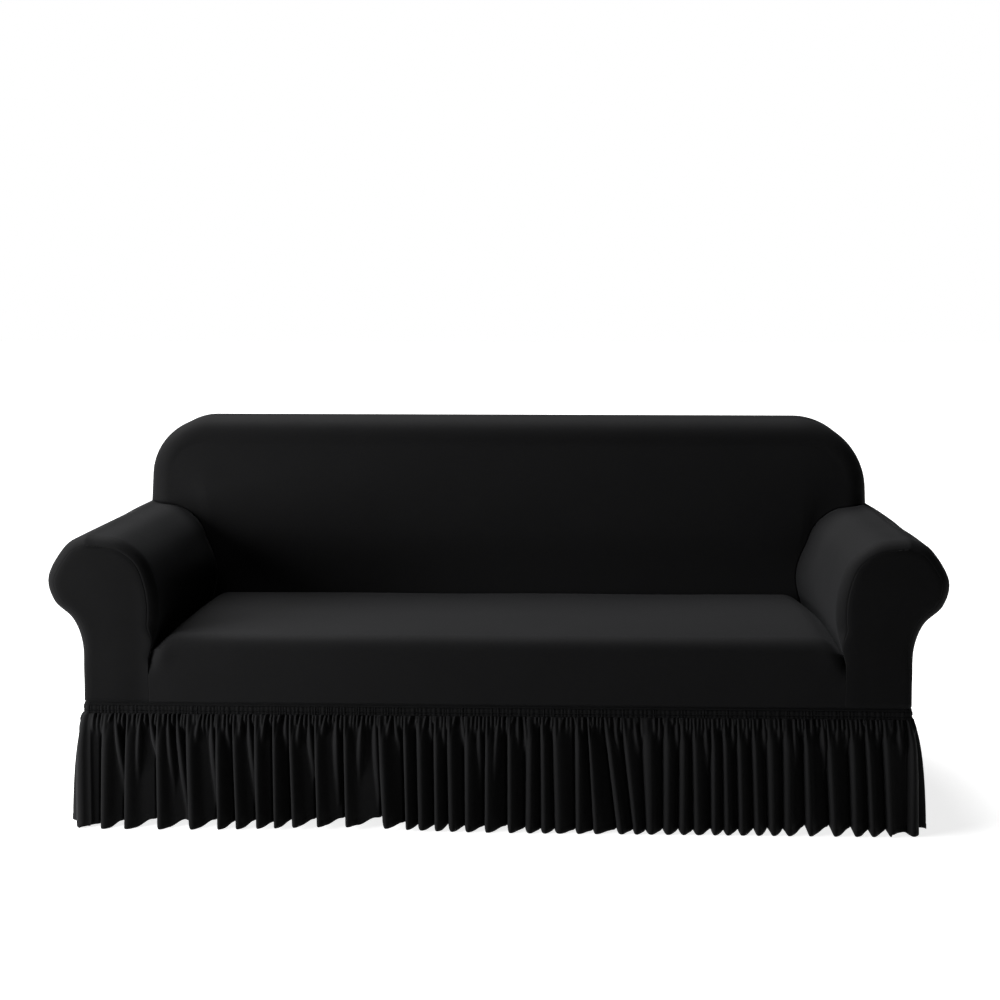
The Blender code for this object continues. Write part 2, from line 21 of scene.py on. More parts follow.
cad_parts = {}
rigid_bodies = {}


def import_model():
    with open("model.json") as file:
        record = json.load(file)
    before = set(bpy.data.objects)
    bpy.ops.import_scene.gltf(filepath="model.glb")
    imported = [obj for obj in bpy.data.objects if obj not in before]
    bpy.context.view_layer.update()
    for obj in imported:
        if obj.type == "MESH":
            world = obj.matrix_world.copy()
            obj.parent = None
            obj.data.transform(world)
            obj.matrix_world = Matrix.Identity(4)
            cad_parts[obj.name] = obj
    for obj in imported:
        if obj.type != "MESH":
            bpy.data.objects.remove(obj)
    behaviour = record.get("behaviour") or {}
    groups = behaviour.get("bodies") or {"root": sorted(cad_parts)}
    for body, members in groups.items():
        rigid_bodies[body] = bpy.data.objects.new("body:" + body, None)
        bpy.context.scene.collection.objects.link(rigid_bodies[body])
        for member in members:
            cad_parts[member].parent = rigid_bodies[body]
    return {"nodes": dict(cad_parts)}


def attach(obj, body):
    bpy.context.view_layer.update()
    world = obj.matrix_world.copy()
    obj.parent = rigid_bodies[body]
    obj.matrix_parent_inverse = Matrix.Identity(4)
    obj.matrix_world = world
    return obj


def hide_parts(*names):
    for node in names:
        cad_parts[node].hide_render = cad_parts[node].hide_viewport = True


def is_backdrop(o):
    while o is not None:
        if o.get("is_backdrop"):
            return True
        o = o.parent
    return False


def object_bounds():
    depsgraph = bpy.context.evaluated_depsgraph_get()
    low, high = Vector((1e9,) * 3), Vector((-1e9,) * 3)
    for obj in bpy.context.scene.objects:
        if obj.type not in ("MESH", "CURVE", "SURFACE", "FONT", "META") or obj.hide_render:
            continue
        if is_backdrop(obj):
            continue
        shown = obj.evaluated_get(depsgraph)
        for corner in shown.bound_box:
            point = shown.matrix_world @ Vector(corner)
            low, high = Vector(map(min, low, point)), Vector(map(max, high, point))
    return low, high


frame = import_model()
cad_low, cad_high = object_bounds()
print("solids:", len(frame["nodes"]), "from", tuple(cad_low), "to", tuple(cad_high))

# %% [markdown]
# ## Measures of the cover
#
# A fitted cover has few measures: how wide and deep its body is, how high its seat, arms and back
# stand, and how round their edges are. The same numbers drive every panel, so panels that are sewn
# together meet without any fitting by eye.

# %% Measures in metres
FLOOR_UNDER_FRONT = Vector((0.0, -0.80, -0.886))   # the sewing origin, in the model's frame
CLOTH = 0.0016               # thickness of the stretch knit
SEAM = 0.0005                # room at a seam
BODY_HALF = 0.968            # middle to the flat outside of the body
BACK_HALF = 0.967            # middle to the sides of the back
DEPTH = 0.90                 # front face to outside back
TOP_HEIGHT = 0.888           # floor to the top of the back
BODY_FOOT = 0.2976           # lower edge of the smooth body
FRONT_ROUND = 0.035          # radius of the front edges
REAR_ROUND = 0.020           # radius of the rear edges
SEAT_HEIGHT = 0.4530
SEAT_FALL = 0.006            # the seat is this much lower at its rear
SEAT_CROWN = 0.004           # how much fuller its middle is
RIGHT_CROWN = 0.011          # and how much fuller it is beside the right arm
TUCK_DIP = 0.032             # how far the seat dips into the tuck at an arm,
TUCK_REACH = 0.031           # and from how far away
REAR_DIP = 0.016             # the same at the back
REAR_REACH = 0.030
SLIT_DIP = 0.010             # how much further it dips in the last few millimetres
BACK_DEPTH = 0.607           # front face to the inside back, at the height of the seat
BACK_SLANT = 0.24            # how far the inside back leans, for each metre of height
BACK_BULGE = 0.017           # how far its middle swells forwards
CORNER_LEFT = 0.150          # radii of the back's top corners
CORNER_RIGHT = 0.180
WAIST_TOP = 0.2976
WAIST_BOTTOM = 0.2700
WAIST_CORNER = 0.018         # radius of the corners in plan
SKIRT_TOP = 0.2708           # a little above the waist's lower edge, behind it
print("seat", SEAT_HEIGHT, "back", TOP_HEIGHT, "body", 2 * BODY_HALF, "by", DEPTH)

# %% [markdown]
# ## Small curves that every panel shares
#
# Cloth hardly ever changes direction at once. Two helpers give it soft changes: one eases a value
# from 0 to 1, and one says how far a rounded edge stands back behind its face. A third draws a
# smooth line through a few knots, which is how a pattern maker draws the section of the arm.

# %% Easing, rounded edges and smooth lines
def fade(value):
    value = min(max(value, 0.0), 1.0)
    return value * value * (3.0 - 2.0 * value)


def mix(start, end, share):
    return start + (end - start) * share


def edge_inset(depth, radius):
    if depth >= radius:
        return 0.0
    return radius - math.sqrt(radius ** 2 - (radius - depth) ** 2)


def smooth_through(knots, samples):
    knots = [Vector(knot) for knot in knots]
    ends = [2 * knots[0] - knots[1]] + knots + [2 * knots[-1] - knots[-2]]
    points = []
    for before, start, end, after in zip(ends, ends[1:], ends[2:], ends[3:]):
        for step in range(samples):
            t = step / samples
            cubic = 3 * start - before - 3 * end + after
            square = 2 * before - 5 * start + 4 * end - after
            points.append(start + 0.5 * ((end - before) * t + square * t ** 2 + cubic * t ** 3))
    points.append(knots[-1])
    return points


def left_normals(points):
    normals = []
    for index in range(len(points)):
        along = points[min(index + 1, len(points) - 1)] - points[max(index - 1, 0)]
        normals.append(Vector((-along.y, along.x)).normalized())
    return normals


middle_inset = edge_inset(FRONT_ROUND / 2, FRONT_ROUND)
print("half way into a front edge, its side stands", round(middle_inset * 1000, 1), "mm back")

# %% [markdown]
# ## The knit
#
# The cloth is a brushed stretch jersey. Close up it shows fine upright wales, a soft nap that
# catches the light unevenly, and nothing else: no print and no shine. All the panels share these
# effects, so they go into one node group that puts out a shade and a height. The shader itself
# stays in each material, with its sheen set on its own socket.

# %% Node group for the knit
def new_group(name, inputs, outputs):
    group = bpy.data.node_groups.new(name, "ShaderNodeTree")
    for label, kind, value in inputs:
        socket = group.interface.new_socket(name=label, in_out="INPUT", socket_type=kind)
        if value is not None:
            socket.default_value = value
    for label, kind in outputs:
        group.interface.new_socket(name=label, in_out="OUTPUT", socket_type=kind)
    entry = group.nodes.new("NodeGroupInput")
    leave = group.nodes.new("NodeGroupOutput")
    entry.location = (-900, 0)
    leave.location = (900, 0)
    return group, entry, leave


def math_node(tree, operation, first, second):
    node = tree.nodes.new("ShaderNodeMath")
    node.operation = operation
    for socket, value in zip(node.inputs, (first, second)):
        if isinstance(value, (int, float)):
            socket.default_value = value
        else:
            tree.links.new(value, socket)
    return node.outputs["Value"]


def knit_group():
    group, entry, leave = new_group(
        "Brushed knit",
        [("Along cloth", "NodeSocketVector", None), ("Place", "NodeSocketVector", None),
         ("Wales per metre", "NodeSocketFloat", 900.0), ("Wale strength", "NodeSocketFloat", 0.3),
         ("Nap size", "NodeSocketFloat", 260.0), ("Cloud strength", "NodeSocketFloat", 0.10)],
        [("Height", "NodeSocketFloat"), ("Shade", "NodeSocketFloat")])
    nodes, links = group.nodes, group.links

    wales = nodes.new("ShaderNodeTexWave")
    wales.wave_type = "BANDS"
    wales.bands_direction = "X"
    wales.inputs["Distortion"].default_value = 1.2
    wales.inputs["Detail"].default_value = 1.0
    wales.inputs["Detail Scale"].default_value = 1.5
    links.new(entry.outputs["Along cloth"], wales.inputs["Vector"])
    links.new(math_node(group, "MULTIPLY", entry.outputs["Wales per metre"], 0.314), wales.inputs["Scale"])

    nap = nodes.new("ShaderNodeTexNoise")
    nap.inputs["Detail"].default_value = 3.0
    nap.inputs["Roughness"].default_value = 0.65
    links.new(entry.outputs["Place"], nap.inputs["Vector"])
    links.new(entry.outputs["Nap size"], nap.inputs["Scale"])

    clouds = nodes.new("ShaderNodeTexNoise")
    clouds.inputs["Scale"].default_value = 9.0
    clouds.inputs["Detail"].default_value = 2.0
    links.new(entry.outputs["Place"], clouds.inputs["Vector"])

    wale_height = math_node(group, "MULTIPLY", wales.outputs["Fac"], entry.outputs["Wale strength"])
    links.new(math_node(group, "ADD", wale_height, nap.outputs["Fac"]), leave.inputs["Height"])

    nap_shade = math_node(group, "MULTIPLY_ADD", nap.outputs["Fac"], 0.5)
    nap_shade.node.inputs[2].default_value = -0.25
    cloud_shade = math_node(group, "SUBTRACT", clouds.outputs["Fac"], 0.5)
    cloud_shade = math_node(group, "MULTIPLY", cloud_shade, entry.outputs["Cloud strength"])
    both = math_node(group, "ADD", nap_shade, cloud_shade)
    links.new(math_node(group, "ADD", both, 1.0), leave.inputs["Shade"])
    return group


KNIT = knit_group()
print("node group:", KNIT.name, "with", len(KNIT.nodes), "nodes")

# %% [markdown]
# ## Finishes
#
# One knit makes the cover, in three states. On the body it is pulled tight, so its wales are wide.
# At the waist elastic draws it in, so they crowd together, and its black is made darker there: painted
# shade of the crowded gathers. The skirt hangs free and its nap stands up, which gives the tops of its
# folds a soft light edge. That soft edge is what sheen is for. A value that is the same all over is
# set on the shader, never linked. The arm fronts carry painted shade: an attribute that the shade
# reads makes their colour darker, fading out towards their inner edge.

# %% Cloth materials
PAINTED_FRONT_SHADE = 0.42           # share of its colour that the painted shade takes from the arm fronts
SHADE_RANGE = (0.8, 1.2)       # shades between which the nap goes from rough to smooth
ROUGH_SPREAD = 0.06


def cloth_finish(name, black, rough, sheen, wales, wale_strength, clouds, bump):
    material = bpy.data.materials.new(name)
    material.use_nodes = True
    tree = material.node_tree
    shader = tree.nodes["Principled BSDF"]
    shader.inputs["Metallic"].default_value = 0.0
    shader.inputs["Specular IOR Level"].default_value = 0.05
    shader.inputs["Sheen Weight"].default_value = sheen
    shader.inputs["Sheen Roughness"].default_value = 0.45
    shader.inputs["Sheen Tint"].default_value = (0.85, 0.87, 0.92, 1.0)

    lengthwise = tree.nodes.new("ShaderNodeUVMap")
    lengthwise.uv_map = "cloth"
    place = tree.nodes.new("ShaderNodeTexCoord")
    knit = tree.nodes.new("ShaderNodeGroup")
    knit.node_tree = KNIT
    knit.inputs["Wales per metre"].default_value = wales
    knit.inputs["Wale strength"].default_value = wale_strength
    knit.inputs["Cloud strength"].default_value = clouds
    tree.links.new(lengthwise.outputs["UV"], knit.inputs["Along cloth"])
    tree.links.new(place.outputs["Object"], knit.inputs["Place"])

    # Painted shade: an attribute on the arm fronts darkens the colour.
    front_shade = tree.nodes.new("ShaderNodeAttribute")
    front_shade.attribute_name = "painted front shade"
    darker = math_node(tree, "MULTIPLY_ADD", front_shade.outputs["Fac"], -PAINTED_FRONT_SHADE)
    darker.node.inputs[2].default_value = 1.0
    colour = tree.nodes.new("ShaderNodeVectorMath")
    colour.operation = "SCALE"
    colour.inputs["Vector"].default_value = black
    shade = math_node(tree, "MULTIPLY", knit.outputs["Shade"], darker)
    tree.links.new(shade, colour.inputs["Scale"])
    tree.links.new(colour.outputs["Vector"], shader.inputs["Base Color"])

    roughness = tree.nodes.new("ShaderNodeMapRange")
    roughness.inputs["From Min"].default_value = SHADE_RANGE[0]
    roughness.inputs["From Max"].default_value = SHADE_RANGE[1]
    roughness.inputs["To Min"].default_value = rough + ROUGH_SPREAD
    roughness.inputs["To Max"].default_value = rough - ROUGH_SPREAD
    tree.links.new(knit.outputs["Shade"], roughness.inputs["Value"])
    tree.links.new(roughness.outputs["Result"], shader.inputs["Roughness"])

    relief = tree.nodes.new("ShaderNodeBump")
    relief.inputs["Strength"].default_value = bump
    relief.inputs["Distance"].default_value = 0.0004
    tree.links.new(knit.outputs["Height"], relief.inputs["Height"])
    tree.links.new(relief.outputs["Normal"], shader.inputs["Normal"])
    return material


FINISHES = {}
for name, *values in (         # black, roughness, sheen, wales per metre, their strength, clouds, relief
    ("stretch body knit", (0.0058, 0.0058, 0.0061), 0.74, 0.018, 900.0, 0.35, 0.16, 0.30),
    # The waist's black is darker than the body's: painted shade of its crowded gathers.
    ("waist knit with painted shade", (0.0032, 0.0032, 0.0034), 0.78, 0.020, 1400.0, 0.50, 0.10, 0.40),
    ("hanging skirt knit", (0.0066, 0.0066, 0.0069), 0.72, 0.044, 1000.0, 0.35, 0.14, 0.30),
):
    FINISHES[name] = cloth_finish(name, *values)
print("finishes:", list(FINISHES))

# %% [markdown]
# ## From a grid to a sheet of cloth
#
# Every panel starts as Blender's own grid, whose corners are then set one by one. The grid gets a
# UV map in real metres along the cloth, so the knit follows the panel round each bend. Solidify
# turns the open sheet into cloth with a real thickness, inwards from the outer face.

# %% Making, measuring and finishing a sheet
def sheet_grid(columns, rows, place, keep=None, mesh=None):
    """A grid whose corners are set by place, less those that keep refuses, with a UV map in metres."""
    mesh = mesh or bmesh.new()
    grid = bmesh.ops.create_grid(mesh, x_segments=columns, y_segments=rows, size=0.5)["verts"]
    address = {vert: (index % (columns + 1), index // (columns + 1)) for index, vert in enumerate(grid)}
    spot = {at: place(*at) for at in address.values() if keep is None or keep(*at)}
    bmesh.ops.delete(mesh, geom=[vert for vert, at in address.items() if at not in spot], context="VERTS")
    for vert, at in address.items():
        if at in spot:
            vert.co = spot[at]
    lengthwise = mesh.loops.layers.uv.get("cloth") or mesh.loops.layers.uv.new("cloth")
    middle = [spot.get((column, rows // 2)) or spot[column, rows] for column in range(columns + 1)]
    side = [spot[columns // 2, row] if (columns // 2, row) in spot else None for row in range(rows + 1)]
    across, up = [0.0], [0.0]
    for start, end in zip(middle, middle[1:]):
        across.append(across[-1] + (end - start).length)
    for start, end in zip(side, side[1:]):
        up.append(up[-1] + ((end - start).length if start and end else 0.02))
    for vert, at in address.items():
        if at in spot:
            for loop in vert.link_loops:
                loop[lengthwise].uv = (across[at[0]], up[at[1]])
    return mesh


def finish_sheet(name, mesh, finish, stands_for, flat, thickness=CLOTH):
    """Move a sheet into the model's frame, give it thickness and finish, and hide the solids it stands for.
    """
    bmesh.ops.translate(mesh, verts=mesh.verts[:], vec=FLOOR_UNDER_FRONT)
    data = bpy.data.meshes.new(name)
    mesh.to_mesh(data)
    mesh.free()
    data.shade_smooth()
    panel = bpy.data.objects.new(name, data)
    bpy.context.scene.collection.objects.link(panel)
    panel.data.materials.append(FINISHES[finish])
    solid = panel.modifiers.new("cloth thickness", "SOLIDIFY")
    solid.thickness = thickness
    solid.offset = -1.0
    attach(panel, "root")
    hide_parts(*stands_for)
    area = sum(face.area for face in data.polygons)
    print(f"{name}: {len(data.polygons)} faces, {area:.3f} m2 of cloth cut {flat[0]} by {flat[1]}")


# %% [markdown]
# ## Section of the arm
#
# A rolled arm is one curve: up the inside from the seat, over the roll and down the outside to the
# waist. The knots are the same as the solid's, read more finely. The roll's top comes down a little
# towards the back, and behind the back's front the outside carries on as a flat side.

# %% The arm's curve and what bends it
ARM_SECTION = (
    (0.8120, 0.400), (0.7985, 0.452), (0.7910, 0.505), (0.7970, 0.570), (0.8230, 0.636),
    (0.8760, 0.677), (0.9400, 0.687), (BODY_HALF, 0.6865), (1.0110, 0.662), (1.0515, 0.592),
    (1.0385, 0.531), (0.9950, 0.488), (0.9720, 0.430), (BODY_HALF, 0.360), (BODY_HALF, BODY_FOOT),
)
KNOT_POINTS = 6
ARM_POINTS = smooth_through(ARM_SECTION, KNOT_POINTS)
ARM_NORMALS = left_normals(ARM_POINTS)
ARCH_TOP = int(5.5 * KNOT_POINTS)     # where the arm meets the front of the back
LEDGE = int(6.5 * KNOT_POINTS)        # from here the cloth runs on behind the back's front
SIDE_TOP = 7 * KNOT_POINTS            # in the plane of the flat outside
BACK_ROUND = BACK_HALF - ARM_POINTS[ARCH_TOP].x
ARM_DROOP = 0.020
SIDE_HEIGHT = ARM_POINTS[SIDE_TOP].y - ARM_DROOP
SEAM_TURN = 21.8                      # degrees of the rounded edge that the front panel takes
SEAM_DEPTH = FRONT_ROUND * (1.0 - math.cos(math.radians(SEAM_TURN)))


def back_face_depth(height):
    return BACK_DEPTH + BACK_SLANT * (height - SEAT_HEIGHT + SEAT_FALL)


def front_round(sample):
    height = ARM_POINTS[sample].y
    if sample < ARCH_TOP:
        return FRONT_ROUND * fade((height - 0.420) / 0.060)
    return mix(WAIST_CORNER, FRONT_ROUND, fade((height - 0.360) / 0.120))


def droop(height, depth):
    return ARM_DROOP * fade((height - 0.50) / 0.12) * min(depth / 0.62, 1.0)


def arm_end(sample):
    point = ARM_POINTS[sample]
    past_edge = min(max(point.x - ARM_POINTS[ARCH_TOP].x, 0.0), BACK_ROUND)
    rounded = BACK_ROUND - math.sqrt(BACK_ROUND ** 2 - past_edge ** 2) if sample > ARCH_TOP else 0.0
    return back_face_depth(point.y - droop(point.y, DEPTH)) + rounded + 0.004


def arm_point(sample, depth, lift=0.0):
    point = ARM_POINTS[sample]
    x, z = point + ARM_NORMALS[sample] * (lift - edge_inset(depth, front_round(sample)))
    if sample < ARCH_TOP:
        reached = min(depth / back_face_depth(point.y), 1.0)
        x -= 0.024 * reached ** 2.5 * fade((SEAT_HEIGHT + 0.15 - point.y) / 0.15)
    if sample > SIDE_TOP:
        past = min(max((depth - 0.62) / 0.14, 0.0), 1.0)
        x = BODY_HALF + (x - BODY_HALF) * math.sqrt(1.0 - past ** 2)
    if sample >= LEDGE:
        x -= edge_inset(DEPTH - depth, REAR_ROUND)
    return Vector((x, depth, z - droop(point.y, depth)))


print("arm section:", len(ARM_POINTS), "points; front seam", round(SEAM_DEPTH * 1000, 1), "mm back")

# %% [markdown]
# ## Arms
#
# The arm's cloth is one long strip: inside arm, roll and outside. Its front edge turns in a few
# millimetres to the seam with the arm's front panel. That turned edge is what draws the fine line
# round the roll. Pulled tight, such a cloth has hardly any folds, only soft waves a millimetre
# deep, so a few slow sines are enough.

# %% Soft waves of the tight cloth
def slow_wave(a, b):
    """From about -1 to 1 over the panel, with no two waves alike."""
    return (math.sin(9.0 * a + 4.0 * b + 0.7) + math.sin(5.3 * b - 13.1 * a + 2.1) * 0.7
            + math.sin(17.0 * a + 11.0 * b + 4.4) * 0.4) / 2.1


# %% Both arms
ARM_TURNS = [SEAM_TURN + (90.0 - SEAM_TURN) * step / 8 for step in range(9)]
ARM_EDGE = [FRONT_ROUND * (1.0 - math.cos(math.radians(turn))) for turn in ARM_TURNS]
ARM_LENGTH = [mix(FRONT_ROUND, 0.692, step / 26) for step in range(1, 27)]
ARM_ROWS = ARM_EDGE + ARM_LENGTH
SIDE_ROWS = [0.706, 0.72, 0.733, 0.745, 0.753, 0.760, 0.80, 0.84, 0.88, 0.885, 0.890, 0.894, 0.8975]
TURNED_IN = ((0.0050, 0.0030), (0.0022, 0.0019), (0.0004, 0.0007))   # (back, inwards) of the hidden edge


def arm_depth(sample, row):
    if row >= len(ARM_ROWS):
        return SIDE_ROWS[row - len(ARM_ROWS)]
    depth = ARM_ROWS[row]
    if sample >= LEDGE or row < len(ARM_EDGE):
        return depth
    return FRONT_ROUND + (depth - FRONT_ROUND) * (arm_end(sample) - FRONT_ROUND) / (0.692 - FRONT_ROUND)


def arm_sheet(side):
    def place(sample, row):
        if row < len(TURNED_IN):
            back, inwards = TURNED_IN[row]
            x, y, z = arm_point(sample, SEAM_DEPTH, lift=-inwards)
            y += back
        else:
            depth = arm_depth(sample, row - len(TURNED_IN))
            calm = fade((depth - 0.06) / 0.15) * fade((arm_end(sample) - depth) / 0.12)
            wave = 0.0012 * calm * slow_wave(depth * 1.3, sample * 0.035 * side)
            x, y, z = arm_point(sample, depth, lift=wave)
        return Vector((side * x, y, z))

    def keep(sample, row):
        return row < len(TURNED_IN) + len(ARM_ROWS) or sample >= LEDGE

    rows = len(TURNED_IN) + len(ARM_ROWS) + len(SIDE_ROWS) - 1
    mesh = sheet_grid(len(ARM_POINTS) - 1, rows, place, keep)
    if side < 0:
        bmesh.ops.reverse_faces(mesh, faces=mesh.faces[:])
    return mesh


for name, side in (("left", -1.0), ("right", 1.0)):
    finish_sheet("arm_cloth_" + name, arm_sheet(side), "stretch body knit",
                 ["arm_" + name], (1.02, 0.82))

# %% [markdown]
# ## Arm fronts
#
# Each arm ends in a flat panel cut to the roll's outline. A fan of faces round one point would
# pinch the cloth, so the rows run across: the outline's points are paired from the two sides of the
# arm, bottom to top. Distance to the outline then tells how far the cloth turns in to its seam.

# %% Arm front panels
FRONT_SPREAD = (0.0, 0.012, 0.03, 0.06, 0.10, 0.16, 0.24, 0.34, 0.45, 0.55, 0.66, 0.76, 0.84, 0.90,
                0.94, 0.97, 0.988, 1.0)
FOOT_ROWS = 12
PAINTED_SHADE_FADE = 0.040                    # the arm fronts' painted shade grows over this distance from the inner edge
ROUND_REACH = FRONT_ROUND * math.sin(math.radians(SEAM_TURN))     # the rest of the rounded edge


def to_outline(point, outline):
    nearest = 1.0
    for start, end in zip(outline, outline[1:]):
        along = end - start
        share = min(max((point - start).dot(along) / along.length_squared, 0.0), 1.0)
        nearest = min(nearest, (point - start - along * share).length)
    return nearest


def arm_front_sheet(side):
    edge = [arm_point(sample, SEAM_DEPTH) for sample in range(len(ARM_POINTS))]
    edge = [Vector((point.x, point.z)) for point in edge]
    foot = [Vector((edge[0].x, mix(BODY_FOOT, edge[0].y, step / FOOT_ROWS))) for step in range(FOOT_ROWS)]
    outline = foot + edge
    pairs = len(outline) // 2

    def place(column, row):
        inner = outline[row]
        outer = outline[len(outline) - 1 - row]
        spot = inner.lerp(outer, FRONT_SPREAD[column])
        near = to_outline(spot, edge)
        turn_in = SEAM_DEPTH * max(1.0 - near / ROUND_REACH, 0.0) ** 2
        swell = 0.0022 * fade(to_outline(spot, outline) / 0.09)
        return Vector((side * spot.x, turn_in - swell, spot.y))

    mesh = sheet_grid(len(FRONT_SPREAD) - 1, pairs - 1, place)
    # Painted shade: the arm fronts are darker, fading out near their inner edge.
    front_shade = mesh.verts.layers.float.new("painted front shade")
    for vert in mesh.verts:
        vert[front_shade] = fade((abs(vert.co.x) - edge[0].x + 0.004) / PAINTED_SHADE_FADE)
    if side < 0:
        bmesh.ops.reverse_faces(mesh, faces=mesh.faces[:])
    return mesh


for name, side in (("left", -1.0), ("right", 1.0)):
    finish_sheet("arm_front_cloth_" + name, arm_front_sheet(side), "stretch body knit",
                 ["arm_front_" + name], (0.26, 0.39))

# %% [markdown]
# ## Seat and apron
#
# The seat is one panel that rolls over the front edge and drops to the waist. Towards the arms and
# the back it dips into the tuck, where the spare cloth is pushed down. The front corners stay full,
# because the cushion under them is round. Columns and rows crowd together where the cloth bends.

# %% Seat and apron
SEAT_EDGE_STEPS = (0.0, 0.002, 0.004, 0.007, 0.010, 0.014, 0.019, 0.025, 0.032, 0.041, 0.052, 0.068)
SEAT_MIDDLE_COLUMNS = 40
SEAT_BEHIND = (0.0, 0.003, 0.007, 0.012, 0.018, 0.026, 0.038, 0.055, 0.08, 0.12, 0.17, 0.22, 0.27,
               0.32, 0.37, 0.42, 0.46, 0.49, 0.52)
LIP_TURNS = tuple(range(90, -1, -9))
APRON_ROWS = (0.410, 0.402, 0.394, 0.385, 0.375, 0.362, 0.347, 0.332, 0.318, 0.306, 0.300, BODY_FOOT)


def seat_profile():
    """Depth, height, share facing up and dip of the rear tuck, from the back to the waist."""
    rear = back_face_depth(SEAT_HEIGHT - SEAT_FALL - REAR_DIP) - SEAM
    profile = [(rear - 0.001, SEAT_HEIGHT - SEAT_FALL, 1.0, REAR_DIP + 0.009)]
    for behind in SEAT_BEHIND:
        depth = rear - behind
        dip = REAR_DIP * math.exp(-(behind / REAR_REACH) ** 2)
        profile.append((depth, SEAT_HEIGHT - SEAT_FALL * depth / rear, 1.0, dip))
    for turn in LIP_TURNS:
        inset = FRONT_ROUND * (1.0 - math.sin(math.radians(turn)))
        depth = FRONT_ROUND * (1.0 - math.cos(math.radians(turn)))
        profile.append((depth, SEAT_HEIGHT - inset, 1.0 - inset / FRONT_ROUND, 0.0))
    return profile + [(0.0, height, 0.0, 0.0) for height in APRON_ROWS]


def arm_face(depth, height):
    """Distance from the middle to the arm's cloth."""
    previous = None
    for sample in range(ARCH_TOP):
        point = arm_point(sample, depth)
        if height <= point.z:
            if previous is None:
                return point.x
            return mix(previous.x, point.x, (height - previous.z) / (point.z - previous.z))
        previous = point
    return previous.x


def tuck_dip(beside, up, rear_dip):
    slit = SLIT_DIP * math.exp(-(beside / 0.005) ** 2) * (1.0 - min(rear_dip / REAR_DIP, 1.0))
    return math.hypot((TUCK_DIP * math.exp(-(beside / TUCK_REACH) ** 2) + slit) * up, rear_dip)


def seat_crease(height):
    """How much of the tuck between seat and arm is left on the front face at this height."""
    return fade((height - 0.362) / 0.050)


def seat_sheet():
    profile = seat_profile()
    edge_columns = len(SEAT_EDGE_STEPS) - 1
    columns = SEAT_MIDDLE_COLUMNS + 2 * edge_columns
    halves = [arm_face(max(depth, SEAM_DEPTH), height - tuck_dip(0.0, up, rear_dip))
              - SEAM * fade((height - 0.400) / 0.03) for depth, height, up, rear_dip in profile]

    def place(column, row):
        depth, height, up, rear_dip = profile[row]
        half = halves[row]
        side = -1.0 if column < columns / 2 else 1.0
        from_end = min(column, columns - column)
        if from_end <= edge_columns:
            x = side * (half - SEAT_EDGE_STEPS[from_end])
        else:
            share = (column - edge_columns) / SEAT_MIDDLE_COLUMNS
            x = (half - SEAT_EDGE_STEPS[-1]) * (2.0 * share - 1.0)
        beside = half - abs(x)
        dip = tuck_dip(beside, up, rear_dip)
        crown = SEAT_CROWN * (1.0 - (x / half) ** 2) + RIGHT_CROWN * fade((x / half - 0.35) / 0.6)
        crown *= up * math.sin(math.pi * min(depth / BACK_DEPTH, 1.0))
        wave = 0.0010 * fade(beside / 0.10) * slow_wave(x * 0.9, depth * 1.7 + height)
        crease = 0.015 * math.exp(-(beside / 0.013) ** 1.6) * seat_crease(height) * (1.0 - up)
        full = 0.0030 * math.exp(-((beside - 0.034) / 0.020) ** 2) * seat_crease(height) * (1.0 - up)
        return Vector((x, depth + crease - full - wave * (1.0 - up), height + crown - dip + wave * up))

    mesh = sheet_grid(columns, len(profile) - 1, place)
    bmesh.ops.reverse_faces(mesh, faces=mesh.faces[:])
    return mesh


finish_sheet("seat_cloth", seat_sheet(), "stretch body knit",
             ["seat_panel"], (1.62, 0.76))

# %% [markdown]
# ## Inside back
#
# The front of the back is a sheet stretched between three edges: the line where it stands on the
# arms and the seat, and the two round top corners. Such a patch is filled by blending its edges.
# The cloth then turns over the top and the sides and runs back to the rear edge.

# %% Edges of the back
CORNER_STEPS = 18
SIDE_STEPS = 12
MIDDLE_COLUMNS = 44
BACK_ROWS = CORNER_STEPS + SIDE_STEPS
BACK_COLUMNS = 2 * ARCH_TOP + MIDDLE_COLUMNS
ARCH_LIFT = 0.0010                     # the back stands this far above the cloth of the arms
print("front of the back:", BACK_COLUMNS, "by", BACK_ROWS, "faces")


def arm_top(x):
    for low, high in zip(ARM_POINTS[ARCH_TOP:SIDE_TOP], ARM_POINTS[ARCH_TOP + 1:SIDE_TOP + 1]):
        if x <= high.x:
            return mix(low.y, high.y, (x - low.x) / (high.x - low.x)) - ARM_DROOP
    return SIDE_HEIGHT


def corner_arc(side, radius, start, end, steps, inset):
    centre = Vector((side * (BACK_HALF - radius), TOP_HEIGHT - radius))
    turns = [math.radians(mix(start, end, step / steps)) for step in range(steps + 1)]
    return [centre + Vector((side * math.cos(turn), math.sin(turn))) * (radius - inset) for turn in turns]


def side_edge(side, radius, inset):
    x = BACK_HALF - inset
    foot = arm_top(x) + ARCH_LIFT
    heights = [mix(foot, TOP_HEIGHT - radius, step / SIDE_STEPS) for step in range(SIDE_STEPS)]
    return [Vector((side * x, z)) for z in heights] + corner_arc(side, radius, 0.0, 45.0, CORNER_STEPS, inset)


def top_edge(inset):
    left = corner_arc(-1.0, CORNER_LEFT, 45.0, 90.0, CORNER_STEPS, inset)
    right = corner_arc(1.0, CORNER_RIGHT, 90.0, 45.0, CORNER_STEPS, inset)
    straight = BACK_COLUMNS - 2 * CORNER_STEPS
    return left + [left[-1].lerp(right[0], step / straight) for step in range(1, straight)] + right


def foot_edge():
    right = []
    for sample in range(ARCH_TOP):
        height = ARM_POINTS[sample].y - droop(ARM_POINTS[sample].y, DEPTH)
        point = arm_point(sample, back_face_depth(height), lift=ARCH_LIFT)
        right.append(Vector((point.x, point.z)))
    right.append(side_edge(1.0, CORNER_RIGHT, BACK_ROUND)[0])
    left = [Vector((-point.x, point.y)) for point in reversed(right)]
    middle = [left[-1].lerp(right[0], step / MIDDLE_COLUMNS) for step in range(1, MIDDLE_COLUMNS)]
    return left + middle + right


